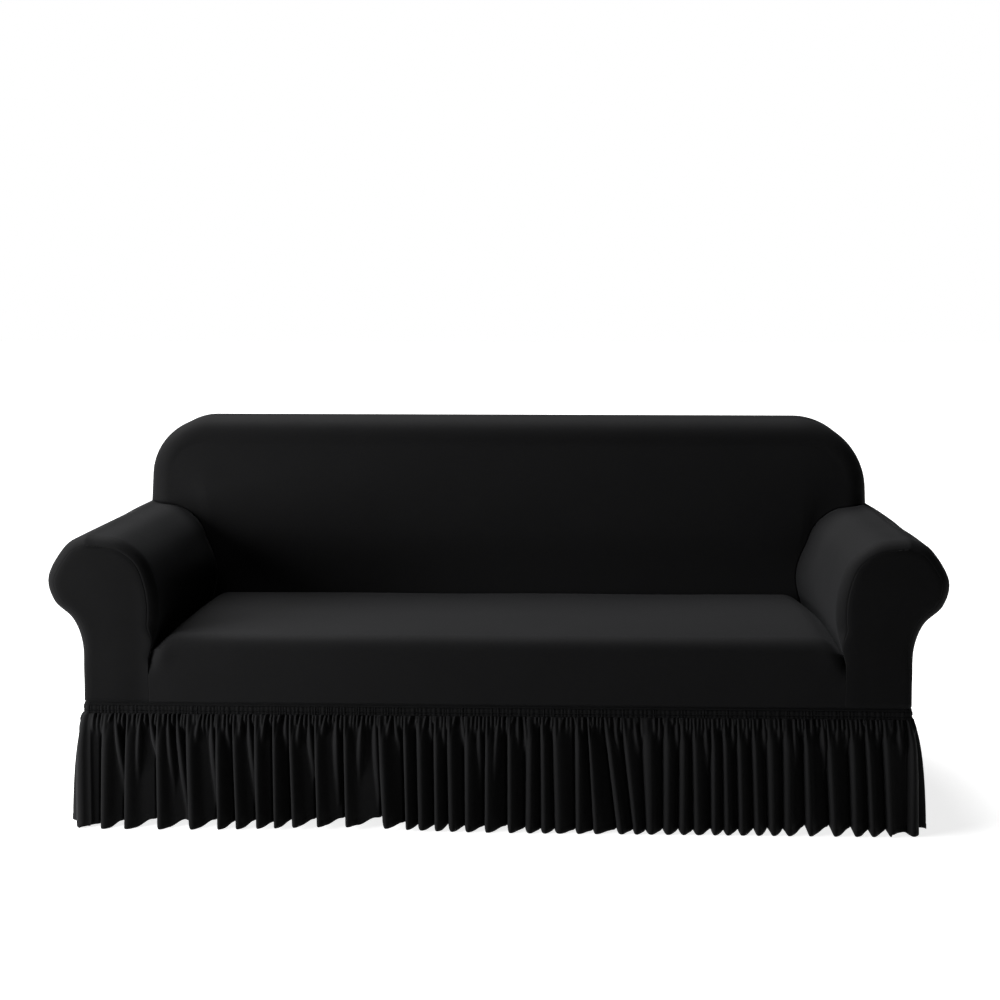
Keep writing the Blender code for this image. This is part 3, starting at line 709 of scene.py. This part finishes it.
# %% Inside back, its rim and its rear edge
RIM_TURNS = [90.0 * step / 12 for step in range(13)]
RIM_MIDDLE = [0.2, 0.5, 0.8]           # shares of the way from the rounding to the rear rounding
RIM_REAR = [0.88, 0.885, 0.890, 0.894, 0.8975]


def inside_back_sheet():
    foot, top = foot_edge(), top_edge(BACK_ROUND)
    left, right = side_edge(-1.0, CORNER_LEFT, BACK_ROUND), side_edge(1.0, CORNER_RIGHT, BACK_ROUND)

    def place_front(column, row):
        u, v = column / BACK_COLUMNS, row / BACK_ROWS
        corners = foot[0].lerp(foot[-1], u).lerp(top[0].lerp(top[-1], u), v)
        x, z = foot[column].lerp(top[column], v) + left[row].lerp(right[row], u) - corners
        swell = BACK_BULGE * math.sin(math.pi * u) * math.sin(math.pi * v)
        swell *= fade((z - SEAT_HEIGHT) / 0.15)
        calm = math.sin(math.pi * u) * math.sin(math.pi * v)
        return Vector((x, back_face_depth(z) - swell - 0.0014 * calm * slow_wave(x * 0.8, z * 1.6), z))

    def rim(inset):
        return (side_edge(-1.0, CORNER_LEFT, inset) + top_edge(inset)[1:-1]
                + side_edge(1.0, CORNER_RIGHT, inset)[::-1])

    rims = [rim(BACK_ROUND * (1.0 - math.sin(math.radians(turn)))) for turn in RIM_TURNS]
    rims += [rim(0.0) for _ in RIM_MIDDLE]
    rims += [rim(edge_inset(DEPTH - depth, REAR_ROUND)) for depth in RIM_REAR]

    def place_rim(station, row):
        x, z = rims[row][station]
        start = back_face_depth(rims[0][station].y)
        if row < len(RIM_TURNS):
            return Vector((x, start + BACK_ROUND * (1.0 - math.cos(math.radians(RIM_TURNS[row]))), z))
        row -= len(RIM_TURNS)
        if row < len(RIM_MIDDLE):
            return Vector((x, mix(start + BACK_ROUND, RIM_REAR[0], RIM_MIDDLE[row]), z))
        return Vector((x, RIM_REAR[row - len(RIM_MIDDLE)], z))

    mesh = sheet_grid(BACK_COLUMNS, BACK_ROWS, place_front)
    sheet_grid(len(rims[0]) - 1, len(rims) - 1, place_rim, mesh=mesh)
    bmesh.ops.remove_doubles(mesh, verts=mesh.verts[:], dist=1e-5)
    return mesh


finish_sheet("inside_back_cloth", inside_back_sheet(), "stretch body knit",
             ["inside_back"], (2.30, 0.72))

# %% [markdown]
# ## Outside back
#
# The rear is a plain upright panel with the same round top corners. Its sides are paired row by row
# like the arm fronts. It swells by a few millimetres, as cloth does over a padded frame.

# %% Outside back panel
REAR_SPREAD = ([0.0, 0.002, 0.006, 0.015] + [0.03 + 0.94 * step / 36 for step in range(37)]
               + [0.985, 0.994, 0.998, 1.0])
REAR_SIDE_ROWS = 16
REAR_CORNER_STEPS = 30


def outside_back_sheet():
    inset = edge_inset(0.0025, REAR_ROUND)

    def climb(side, radius):
        x = side * (BODY_HALF - inset)
        heights = [mix(BODY_FOOT, SIDE_HEIGHT, step / REAR_SIDE_ROWS) for step in range(REAR_SIDE_ROWS)]
        corner = corner_arc(side, radius, 0.0, 90.0, REAR_CORNER_STEPS, inset)
        return [Vector((x, z)) for z in heights] + corner

    left, right = climb(-1.0, CORNER_LEFT), climb(1.0, CORNER_RIGHT)
    outline = left + right[::-1]

    def place(column, row):
        spot = left[row].lerp(right[row], REAR_SPREAD[column])
        near = to_outline(spot, outline)
        foot = spot.y - BODY_FOOT
        swell = 0.004 * fade(near / 0.20) * fade(foot / 0.20)
        swell += 0.0012 * fade(near / 0.1) * slow_wave(spot.x, spot.y)
        return Vector((spot.x, DEPTH - 0.0012 * math.exp(-near / 0.003) + swell, spot.y))

    mesh = sheet_grid(len(REAR_SPREAD) - 1, len(left) - 1, place)
    bmesh.ops.reverse_faces(mesh, faces=mesh.faces[:])
    return mesh


finish_sheet("outside_back_cloth", outside_back_sheet(), "stretch body knit",
             ["outside_back"], (1.92, 0.58))

# %% [markdown]
# ## Plan of the waist
#
# Waist and skirt go round the body in four lengths. The front and back lengths are straight, and
# the side lengths also turn the corners. One function bends a straight length round its corners,
# so a fold is only ever described by how far it stands out.

# %% Four lengths round the body
def around(distance, out, half):
    """Place in plan of a point so far along a length, standing out from it."""
    side = math.copysign(1.0, distance)
    past = abs(distance) - half
    if past <= 0.0:
        return distance, -out
    turn = past / WAIST_CORNER
    x = half + (WAIST_CORNER + out) * math.sin(turn)
    return side * x, WAIST_CORNER - (WAIST_CORNER + out) * math.cos(turn)


WIDE_HALF = BODY_HALF - WAIST_CORNER
SIDE_HALF = DEPTH / 2 - WAIST_CORNER
SIDE_REACH = SIDE_HALF + WAIST_CORNER * math.pi / 2
LENGTHS = (
    ("front", (0.0, 0.0), 0.0, WIDE_HALF, WIDE_HALF),
    ("right", (BODY_HALF, DEPTH / 2), 90.0, SIDE_HALF, SIDE_REACH),
    ("back", (0.0, DEPTH), 180.0, WIDE_HALF, WIDE_HALF),
    ("left", (-BODY_HALF, DEPTH / 2), 270.0, SIDE_HALF, SIDE_REACH),
)
print("round the body:", round(4 * (WIDE_HALF + SIDE_REACH), 2), "m")


def set_round(mesh, place, turn):
    bmesh.ops.rotate(mesh, verts=mesh.verts[:], matrix=Matrix.Rotation(math.radians(turn), 3, "Z"))
    bmesh.ops.translate(mesh, verts=mesh.verts[:], vec=(place[0], place[1], 0.0))


def uneven(index, salt):
    """The same uneven number from 0 to 1 each run."""
    return (math.sin(index * 12.9898 + salt * 78.233) * 43758.5453) % 1.0


# %% [markdown]
# ## Shirred waist
#
# Two rows of elastic thread draw the band in. Along each row the cloth is held down in a narrow
# groove, and between them it stands up in small upright ribs, none as wide as the next. Above the
# ribs a third groove marks the seam with the body.

# %% Waist bands
ELASTIC_ROWS = (0.2765, 0.2885)
BODY_SEAM = 0.2948
RIB_PITCH = 0.0088
RIB_COLUMNS = 5
WAIST_THICK = 0.0012
WAIST_FULLNESS = 1.15          # length of the cloth over the length that it is drawn to
WAIST_CUT = 0.030              # height of the cloth as it is cut
WAIST_ROWS = [WAIST_BOTTOM, 0.2712, 0.2726, 0.2740, 0.2752, 0.2759, 0.2765, 0.2771, 0.2778, 0.2790, 0.2808,
              0.2826, 0.2844, 0.2860, 0.2872, 0.2879, 0.2885, 0.2891, 0.2900, 0.2912, 0.2924, 0.2936,
              0.2948, 0.2958, 0.2968, WAIST_TOP]


def waist_sheet(half, reach, salt):
    ribs = int(2 * reach / RIB_PITCH)
    edges = [-reach]
    for index in range(ribs):
        edges.append(edges[-1] + 0.5 + uneven(index, salt))
    edges = [mix(-reach, reach, (edge + reach) / (edges[-1] + reach)) for edge in edges]

    def place(column, row):
        rib, step = divmod(column, RIB_COLUMNS)
        share = step / RIB_COLUMNS if rib < ribs else 1.0
        rib = min(rib, ribs - 1)
        distance = mix(edges[rib], edges[rib + 1], share)
        height = WAIST_ROWS[row]
        held = max(math.exp(-((height - line) / 0.0010) ** 2) for line in ELASTIC_ROWS)
        between = math.sin(math.pi * min(max((height - 0.2690) / 0.0195, 0.0), 1.0))
        tall = 0.0008 + 0.0018 * uneven(rib, salt + 3)
        rib_rise = tall * math.sin(math.pi * share) if 0.0 < share < 1.0 else 0.0
        ribbed = fade((0.2915 - height) / 0.004)
        join = math.exp(-((height - BODY_SEAM) / 0.0018) ** 2)
        out = 0.0010 * between + rib_rise * ribbed * (1.0 - 0.3 * held) - 0.0026 * held - 0.0030 * join
        x, y = around(distance, out, half)
        return Vector((x, y, height))

    return sheet_grid(ribs * RIB_COLUMNS, len(WAIST_ROWS) - 1, place)


for salt, (name, place, turn, half, reach) in enumerate(LENGTHS):
    band = waist_sheet(half, reach, salt)
    set_round(band, place, turn)
    flat = (round(2 * reach * WAIST_FULLNESS, 3), WAIST_CUT)
    finish_sheet("waist_cloth_" + name, band, "waist knit with painted shade",
                 ["waist_" + name], flat, WAIST_THICK)

# %% [markdown]
# ## Folds of the skirt
#
# Under the elastic the cloth springs out in small gathers about a centimetre apart. Going down they
# run together, two and three at a time, into the large folds that reach the floor. The large folds
# are listed in centimetres from the middle, at the hem and under the waist. A second list
# holds the smaller ridges: where each starts, where it ends or joins a fold, and how far down.

# %% Large folds of the front, in centimetres: (at the hem, under the waist)
FRONT_FOLDS = (
    (-91.7, -90.8), (-86.3, -85.6), (-78.4, -78.5), (-70.8, -71.4), (-64.4, -64.6), (-60.0, -60.8),
    (-55.2, -55.5), (-51.1, -51.3), (-46.7, -47.5), (-41.0, -41.5), (-34.3, -34.7), (-25.3, -26.5),
    (-20.2, -20.7), (-16.9, -17.3), (-13.3, -13.5), (-9.8, -10.3), (-6.1, -6.1), (-1.6, -1.5),
    (3.8, 3.7), (8.3, 8.6), (11.8, 11.4), (15.2, 14.4), (19.7, 19.6), (23.8, 21.9),
    (29.6, 26.0), (33.1, 30.2), (36.5, 36.0), (40.4, 40.4), (44.0, 44.0), (47.4, 46.5),
    (51.2, 50.9), (54.3, 53.5), (57.6, 56.8), (61.3, 60.2), (64.8, 64.1), (68.4, 68.0),
    (73.3, 72.2), (79.0, 77.3), (83.9, 82.8), (87.8, 86.2), (92.0, 90.5),
)

# %% Small ridges of the front: (under the waist, where it ends, share of the drop it lives for)
FRONT_RIDGES = (
    (-89.9, -90.9, 0.12), (-89.1, -86.8, 0.7), (-86.3, -85.7, 0.12), (-83.0, -83.9, 0.72),
    (-81.1, -78.3, 0.5), (-76.6, -75.3, 0.7), (-74.5, -72.1, 0.92), (-68.9, -70.4, 0.33),
    (-66.4, -65.2, 0.78), (-62.7, -62.1, 0.3), (-59.3, -59.8, 0.3), (-57.7, -55.9, 0.78),
    (-53.6, -54.8, 0.35), (-50.2, -50.9, 0.1), (-48.8, -48.7, 0.28), (-45.3, -46.5, 0.4),
    (-43.5, -42.3, 0.6), (-39.5, -40.7, 0.26), (-37.0, -36.7, 0.8), (-30.9, -31.9, 0.7),
    (-28.0, -27.2, 0.78), (-24.2, -25.5, 0.26), (-23.4, -22.3, 0.28), (-19.6, -20.3, 0.1),
    (-16.0, -17.0, 0.17), (-15.0, -14.6, 0.22), (-11.8, -11.7, 0.32), (-9.2, -9.9, 0.12),
    (-7.8, -6.4, 0.32), (-3.6, -3.3, 0.6), (1.0, -0.6, 0.78), (4.4, 3.6, 0.09),
    (5.4, 5.6, 0.3), (6.8, 8.1, 0.4), (12.4, 11.4, 0.1), (16.1, 14.9, 0.12),
    (18.5, 19.4, 0.13), (21.6, 23.2, 0.15), (25.6, 28.0, 0.42), (27.8, 29.1, 0.38),
    (32.3, 33.7, 0.4), (34.1, 34.6, 0.26), (38.3, 38.3, 0.24), (42.3, 42.5, 0.32),
    (47.3, 46.9, 0.2), (48.8, 49.6, 0.52), (55.2, 55.5, 0.28), (58.4, 58.6, 0.26),
    (61.1, 60.8, 0.15), (62.3, 62.8, 0.32), (65.8, 66.0, 0.24), (69.4, 69.7, 0.52),
    (73.5, 73.3, 0.2), (75.7, 76.6, 0.42), (79.5, 79.1, 0.31), (81.4, 81.7, 0.24),
    (84.5, 84.8, 0.2), (88.3, 88.8, 0.24), (92.2, 91.6, 0.18), (93.3, 94.1, 0.4),
)
print(len(FRONT_FOLDS), "large folds and", len(FRONT_RIDGES), "small ridges on the front")

# %% [markdown]
# ## From lists to cloth
#
# A hanging fold isn't a wave. Its crest is narrow and round, one side drops steeply, and from the
# other side a nearly flat panel runs back until it tucks in beside the next crest. The small ridges
# are laid over that, and the higher of the two wins, with a soft join. That is how two ridges that
# draw together end as one, in the shape of a Y. All of it opens quickly under the waist.

# %% Measures of the folds
FLARE = 0.022                  # how far the skirt stands out from the waist at the hem
CREST = 0.0085                 # how far a crest stands out of the skirt's mean surface
SLIT = 0.32                    # how much deeper the cloth goes in the slit beside a crest
HEM_LIFT = 0.012               # the hem hangs this much higher in the tucks than at the crests
HEM_BAND = 0.014               # height of the turned hem
HEM_CLEARANCE = 0.0016         # the crests end this far above the floor, before the cloth's thickness
SEAM_TUCK = -0.012             # where neighbouring lengths meet inside a tuck,
SEAM_PANEL = -0.003            # and where they meet on the panel beside the front left corner's fold
GENTLE_SIDE = (0.0, 0.0016, 0.0034, 0.0054, 0.0076, 0.0100, 0.0126)    # columns beside a crest
STEEP_SIDE = (0.0, 0.0022, 0.0042, 0.0060, 0.0075, 0.0087, 0.0095, 0.0100)
FLOOR_STEP = 0.0019            # columns between the crests, close enough for the smallest ridge
DROPS = (0.0, 0.008, 0.018, 0.030, 0.045, 0.062, 0.080, 0.10, 0.125, 0.15, 0.18, 0.215, 0.25, 0.29,
         0.33, 0.38, 0.44, 0.51, 0.58, 0.66, 0.74, 0.82, 0.89, 0.934, 0.946, 0.956, 0.978, 1.0)
RIDGE_SEARCH = 0.045           # no small ridge moves further sideways than this
RIDGE_END = 1.1                # share of its life after which a ridge is gone
SLOW_WHOLE = 0.9075            # brings the slower flare of the sides to its full size at the hem


# %% Across the skirt: from one crest to the next
def column_places(gap, steep, first):
    """Distances from a crest to the columns up to the next, close together on both crests."""
    floor_end = gap - steep
    places = [] if first else [away for away in GENTLE_SIDE if away < 0.8 * floor_end]
    floor_start = places[-1] if places else 0.0
    steps = max(int((floor_end - floor_start) / FLOOR_STEP), 3)
    places += [mix(floor_start, floor_end, step / steps) for step in range(0 if first else 1, steps)]
    places += [gap - away / STEEP_SIDE[-1] * steep for away in STEEP_SIDE[:0:-1]] if steep else []
    return places


def fold_columns(folds, reach, levels, salt):
    """Each column's distance at hem and waist, the shares by which crest and panel raise it from
    the tuck, how deep its tuck is, and the share by which its hem is lifted."""
    ends = [(-reach, -reach)] + list(folds) + [(reach, reach)]
    columns = []
    for index, (start, end) in enumerate(zip(ends, ends[1:])):
        first, last = index == 0, index == len(ends) - 2
        gap = end[0] - start[0]
        depth = min(max(0.42 * gap, 0.0100), 0.0240) * (0.85 + 0.3 * uneven(index, salt + 11))
        cap = min(0.0155, 0.33 * gap) * (0.75 + 0.5 * uneven(index, salt + 13))
        steep = 0.0 if last else min(0.0105 * (0.8 + 0.5 * uneven(index, salt + 12)), 0.42 * gap)
        floor_end = gap - steep
        joint = max((levels[1 if last else 0] + depth) / (CREST + depth), 0.0)
        high = joint if first else 0.52
        low = joint if last else 0.0
        for away in column_places(gap, steep, first):
            if away < floor_end:
                panel = mix(high, low, (away / floor_end) ** (0.5 if first else 1.2))
                crest = 0.0 if first else 0.48 * math.exp(-(away / cap) ** 2.3)
            else:
                panel = 0.0
                crest = (1.0 - min((gap - away) / steep, 1.0) ** 3.0) ** 0.625
            share = away / gap
            lifted = 0.5 if first or last else fade(share / 0.45 - 0.55) * min(gap / 0.045, 1.2)
            if not last:
                panel -= SLIT * math.exp(-((away - floor_end) / 0.0026) ** 2)
                lifted *= fade((gap - away - 0.003) / 0.009) * (0.55 + 0.7 * uneven(index, salt + 14))
            columns.append((mix(start[0], end[0], share), mix(start[1], end[1], share),
                            crest, panel, depth, lifted))
    columns.append((reach, reach, 0.0, 0.0, columns[-1][4], 0.5))
    return columns


# %% Small ridges and gathers
def with_gathers(folds, ridges, reach, salt):
    """The small ridges, and between them short gathers that fill the waist to an even closeness."""
    found = list(ridges)
    tops = sorted([top for _, top in folds] + [top for top, _, _ in ridges] + [-reach, reach])
    for index, (start, end) in enumerate(zip(tops, tops[1:])):
        extra = round((end - start) / 0.0095) - 1
        for number in range(max(extra, 0)):
            top = mix(start, end, (number + 1 + 0.4 * (uneven(index, salt + number) - 0.5)) / (extra + 1))
            lower = top + 0.003 * (uneven(index, salt + 7) - 0.5)
            found.append((top, lower, 0.08 + 0.12 * uneven(index, salt + 9)))
    return sorted(found)


def opening(drop):
    """How far the folds have opened at this share of the way down."""
    return mix(0.50, 1.0, 1.0 - math.exp(-drop / 0.17))


def ridge_height(distance, drop, ridge):
    start, end, life = ridge
    spent = drop / life
    centre = mix(start, end, min(spent, 1.0) ** 0.8)
    width = 0.0034 + 0.0040 * min(drop / 0.25, 1.0)
    top = opening(drop) * CREST * mix(1.0, 0.45, min(drop / 0.3, 1.0))
    top -= opening(drop) * (CREST + 0.012) * fade((spent - 0.40) / 0.7)
    return top - 0.0075 * ((distance - centre) / width) ** 2


def higher(first, second, softness=0.0012):
    """The higher of two surfaces, with a soft join."""
    return (first + second + math.sqrt((first - second) ** 2 + softness ** 2)) / 2


# %% Down the skirt: flare and hem
def skirt_flare(drop, from_end, side_flare):
    """How far the skirt stands out. The sides flare more slowly and further than their corners."""
    flare = FLARE * (1.0 - math.exp(-drop / 0.13))
    if side_flare:
        slow = side_flare * (1.0 - math.exp(-drop / 0.42)) / SLOW_WHOLE
        flare = mix(flare, slow, fade(from_end / 0.045))
    return flare


def hem_relief(drop):
    """The turned hem is a little thicker, with a groove where it is stitched."""
    above_hem = (1.0 - drop) * SKIRT_TOP
    thick = 0.0007 * fade((HEM_BAND - above_hem) / 0.0015 + 1.0)
    return thick - 0.0010 * math.exp(-((above_hem - HEM_BAND) / 0.0013) ** 2)


def hem_height(hem, lifted, drawn_up):
    """The hem waves less right of the middle, and is drawn up a little left of it."""
    waves = 0.95 - 0.85 * math.exp(-((hem - 0.24) / 0.24) ** 2)
    drawn = drawn_up * math.exp(-((hem + 0.36) / 0.20) ** 2)
    return HEM_CLEARANCE + HEM_LIFT * waves * lifted + drawn


# %% One length of the skirt
def skirt_sheet(half, reach, folds, ridges, levels, drawn_up, side_flare, salt):
    columns = fold_columns(folds, reach, levels, salt)
    small = with_gathers(folds, ridges, reach, salt)
    tops = [ridge[0] for ridge in small]

    def place(column, row):
        hem, top, crest, panel, depth, lifted = columns[column]
        drop = DROPS[len(DROPS) - 1 - row]
        distance = mix(top, hem, drop)
        rise = opening(drop) * mix(-depth, CREST, crest + panel * mix(0.35, 1.0, fade(drop / 0.22)))
        first = bisect.bisect_left(tops, distance - RIDGE_SEARCH)
        last = bisect.bisect_right(tops, distance + RIDGE_SEARCH)
        for ridge in small[first:last]:
            if drop / ridge[2] < RIDGE_END:
                rise = higher(rise, ridge_height(distance, drop, ridge))
        rise *= fade((drop + 0.006) / 0.022)
        from_end = reach - abs(distance)
        seam = fade(from_end / 0.008)
        level = levels[0 if distance < 0.0 else 1] * opening(drop)
        behind_waist = 0.0014 * math.exp(-drop / 0.006)
        out = skirt_flare(drop, from_end, side_flare) + mix(level, rise, seam) + hem_relief(drop)
        x, y = around(distance, out - behind_waist, half)
        return Vector((x, y, mix(SKIRT_TOP, hem_height(hem, mix(0.5, lifted, seam), drawn_up), drop)))

    return sheet_grid(len(columns) - 1, len(DROPS) - 1, place)


# %% [markdown]
# ## Skirt lengths
#
# The front uses the two lists. The sides and the back aren't in view from the front, so their folds
# are spread by an uneven but repeatable number. The gathered cloth is cut nearly half as long again
# as the waist that it is drawn to.

# %% Folds that a list doesn't give
def spread_folds(count, reach, salt):
    folds = []
    for index in range(count):
        place = mix(-reach, reach, (index + 0.5 + 0.5 * (uneven(index, salt) - 0.5)) / count)
        folds.append((place, place + 0.008 * (uneven(index, salt + 1) - 0.5)))
    return folds


def spread_ridges(folds, salt):
    ridges = []
    for index, (hem, top) in enumerate(folds):
        side = 1.0 if uneven(index, salt + 2) > 0.5 else -1.0
        away = 0.010 + 0.006 * uneven(index, salt + 3)
        ridges.append((top + side * away, hem + side * 0.002, 0.15 + 0.5 * uneven(index, salt + 4)))
        if uneven(index, salt + 5) > 0.5:
            ridges.append((top - side * away * 1.5, hem - side * 0.016, 0.3 + 0.5 * uneven(index, salt + 6)))
    return ridges


# %% Skirt
CORNER_RIDGE = mix(SIDE_HALF, SIDE_REACH, 0.76)      # a fold stands on each rounded corner
BACK_FOLDS = 40
SIDE_FOLDS = 18
SIDE_FLARE = 0.033
FRONT_DRAWN_UP = 0.010
SKIRT_THICK = 0.0013
SKIRT_FULLNESS = 1.45          # length of the cloth over the length that it is drawn to
SKIRT_CUT = 0.285              # height of the cloth as it is cut, with its hem

for salt, (name, place, turn, half, reach) in enumerate(LENGTHS):
    if name == "front":
        folds = [(hem / 100, top / 100) for hem, top in FRONT_FOLDS]
        ridges = [(top / 100, end / 100, life) for top, end, life in FRONT_RIDGES]
    elif name == "back":
        folds = spread_folds(BACK_FOLDS, reach, salt)
        ridges = spread_ridges(folds, salt)
    else:
        between = spread_folds(SIDE_FOLDS, SIDE_HALF, salt)
        folds = [(-CORNER_RIDGE, -CORNER_RIDGE)] + between + [(CORNER_RIDGE, CORNER_RIDGE)]
        ridges = spread_ridges(between, salt)
    levels = (SEAM_PANEL if name == "front" else SEAM_TUCK, SEAM_PANEL if name == "left" else SEAM_TUCK)
    drawn_up = FRONT_DRAWN_UP if name == "front" else 0.0
    side_flare = 0.0 if name in ("front", "back") else SIDE_FLARE
    length = skirt_sheet(half, reach, folds, ridges, levels, drawn_up, side_flare, salt)
    set_round(length, place, turn)
    flat = (round(2 * reach * SKIRT_FULLNESS, 3), SKIRT_CUT)
    finish_sheet("skirt_cloth_" + name, length, "hanging skirt knit",
                 ["skirt_" + name], flat, SKIRT_THICK)

# %% [markdown]
# ## Floor, light and camera
#
# The cover stands on a plain pale floor before a plain white background. Black cloth shows its shape
# only by the way light falls off over it, so most of the light comes from one side. A soft light
# low on the left front rakes across the skirt, so each fold has a bright crest and a dark panel, and
# it leaves the inside of the left arm and the foot of the back in shade. A broad light high up on
# the left lifts the seat and the tops of the arms. The white that the camera sees round the object
# mustn't light it, or the shades would wash out. So the floor is left out of what lights the cloth,
# and the background is bright to the camera alone.

# %% Floor and background
BACKGROUND_GLOW = 0.03         # what is left of the background for the cloth
FLOOR_GREY = 0.55
FLOOR_GLOW = 0.82


def pale_finish():
    material = bpy.data.materials.new("pale floor")
    material.use_nodes = True
    shader = material.node_tree.nodes["Principled BSDF"]
    shader.inputs["Base Color"].default_value = (FLOOR_GREY, FLOOR_GREY, FLOOR_GREY, 1.0)
    shader.inputs["Roughness"].default_value = 0.9
    shader.inputs["Emission Color"].default_value = (1.0, 1.0, 1.0, 1.0)
    shader.inputs["Emission Strength"].default_value = FLOOR_GLOW
    return material


floor_mesh = bmesh.new()
bmesh.ops.create_grid(floor_mesh, x_segments=1, y_segments=1, size=14.0)
bmesh.ops.translate(floor_mesh, verts=floor_mesh.verts[:], vec=(0.0, 4.0, FLOOR_UNDER_FRONT.z))
floor_data = bpy.data.meshes.new("floor")
floor_mesh.to_mesh(floor_data)
floor_mesh.free()
floor = bpy.data.objects.new("floor", floor_data)
floor.data.materials.append(pale_finish())
bpy.context.scene.collection.objects.link(floor)
floor.visible_diffuse = False
floor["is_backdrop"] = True

surround = bpy.data.worlds.new("white background")
surround.use_nodes = True
nodes, links = surround.node_tree.nodes, surround.node_tree.links
light_path = nodes.new("ShaderNodeLightPath")
brightness = nodes.new("ShaderNodeMix")
brightness.data_type = "FLOAT"
brightness.inputs["A"].default_value = BACKGROUND_GLOW
brightness.inputs["B"].default_value = 1.0
links.new(light_path.outputs["Is Camera Ray"], brightness.inputs["Factor"])
nodes["Background"].inputs["Color"].default_value = (1.0, 1.0, 1.0, 1.0)
links.new(brightness.outputs["Result"], nodes["Background"].inputs["Strength"])
bpy.context.scene.world = surround
bpy.context.scene.view_settings.view_transform = "Standard"

# %% Lights, in sewing coordinates
LEFT_PLACE = Vector((-2.9, -1.45, 1.08))
LEFT_AIM = Vector((0.1, 0.1, 0.4))
LEFT_SIZE = 1.7
LEFT_WATTS = 162.0
HIGH_PLACE = Vector((-1.6, 1.55, 3.6))
HIGH_AIM = Vector((0.2, 0.35, 0.4))
HIGH_STRENGTH = 5.6
HIGH_BREADTH = 50.0            # degrees of sky that it fills


def set_light(data, place, aim):
    light = bpy.data.objects.new(data.name, data)
    light.location = place + FLOOR_UNDER_FRONT
    light.rotation_euler = (aim - place).to_track_quat("-Z", "Y").to_euler()
    bpy.context.scene.collection.objects.link(light)


left = bpy.data.lights.new("soft left light", "AREA")
left.shape = "SQUARE"
left.size = LEFT_SIZE
left.energy = LEFT_WATTS
set_light(left, LEFT_PLACE, LEFT_AIM)

high = bpy.data.lights.new("broad high light", "SUN")
high.energy = HIGH_STRENGTH
high.angle = math.radians(HIGH_BREADTH)
set_light(high, HIGH_PLACE, HIGH_AIM)
print("lights:", left.name, "and", high.name)

# %% Camera, in sewing coordinates
CAMERA_PLACE = Vector((0.1844, -4.0683, 1.3883))
CAMERA_TURN = 0.0316           # radians to the left
CAMERA_TILT = 0.0796           # radians down
CAMERA_SHIFT = (-0.01886, -0.12314)
LENS = 64.08                   # on a sensor 36 mm wide
camera_data = bpy.data.cameras.new("camera")
camera_data.sensor_width = 36.0
camera_data.lens = LENS
camera_data.shift_x, camera_data.shift_y = CAMERA_SHIFT
camera = bpy.data.objects.new("camera", camera_data)
camera.location = CAMERA_PLACE + FLOOR_UNDER_FRONT
camera.rotation_euler = (math.pi / 2 - CAMERA_TILT, 0.0, CAMERA_TURN)
bpy.context.scene.collection.objects.link(camera)
bpy.context.scene.camera = camera
print("camera:", round(LENS), "mm,", round(-CAMERA_PLACE.y, 1), "m before the front face")

# %% Compare the sizes and close the frame
bpy.context.view_layer.update()
new_low, new_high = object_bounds()
for axis in range(3):
    side = cad_high[axis] - cad_low[axis]
    proud = max(cad_low[axis] - new_low[axis], new_high[axis] - cad_high[axis])
    print("xyz"[axis], "side", round(side, 3), "stands proud by", round(proud * 1000, 1), "mm")
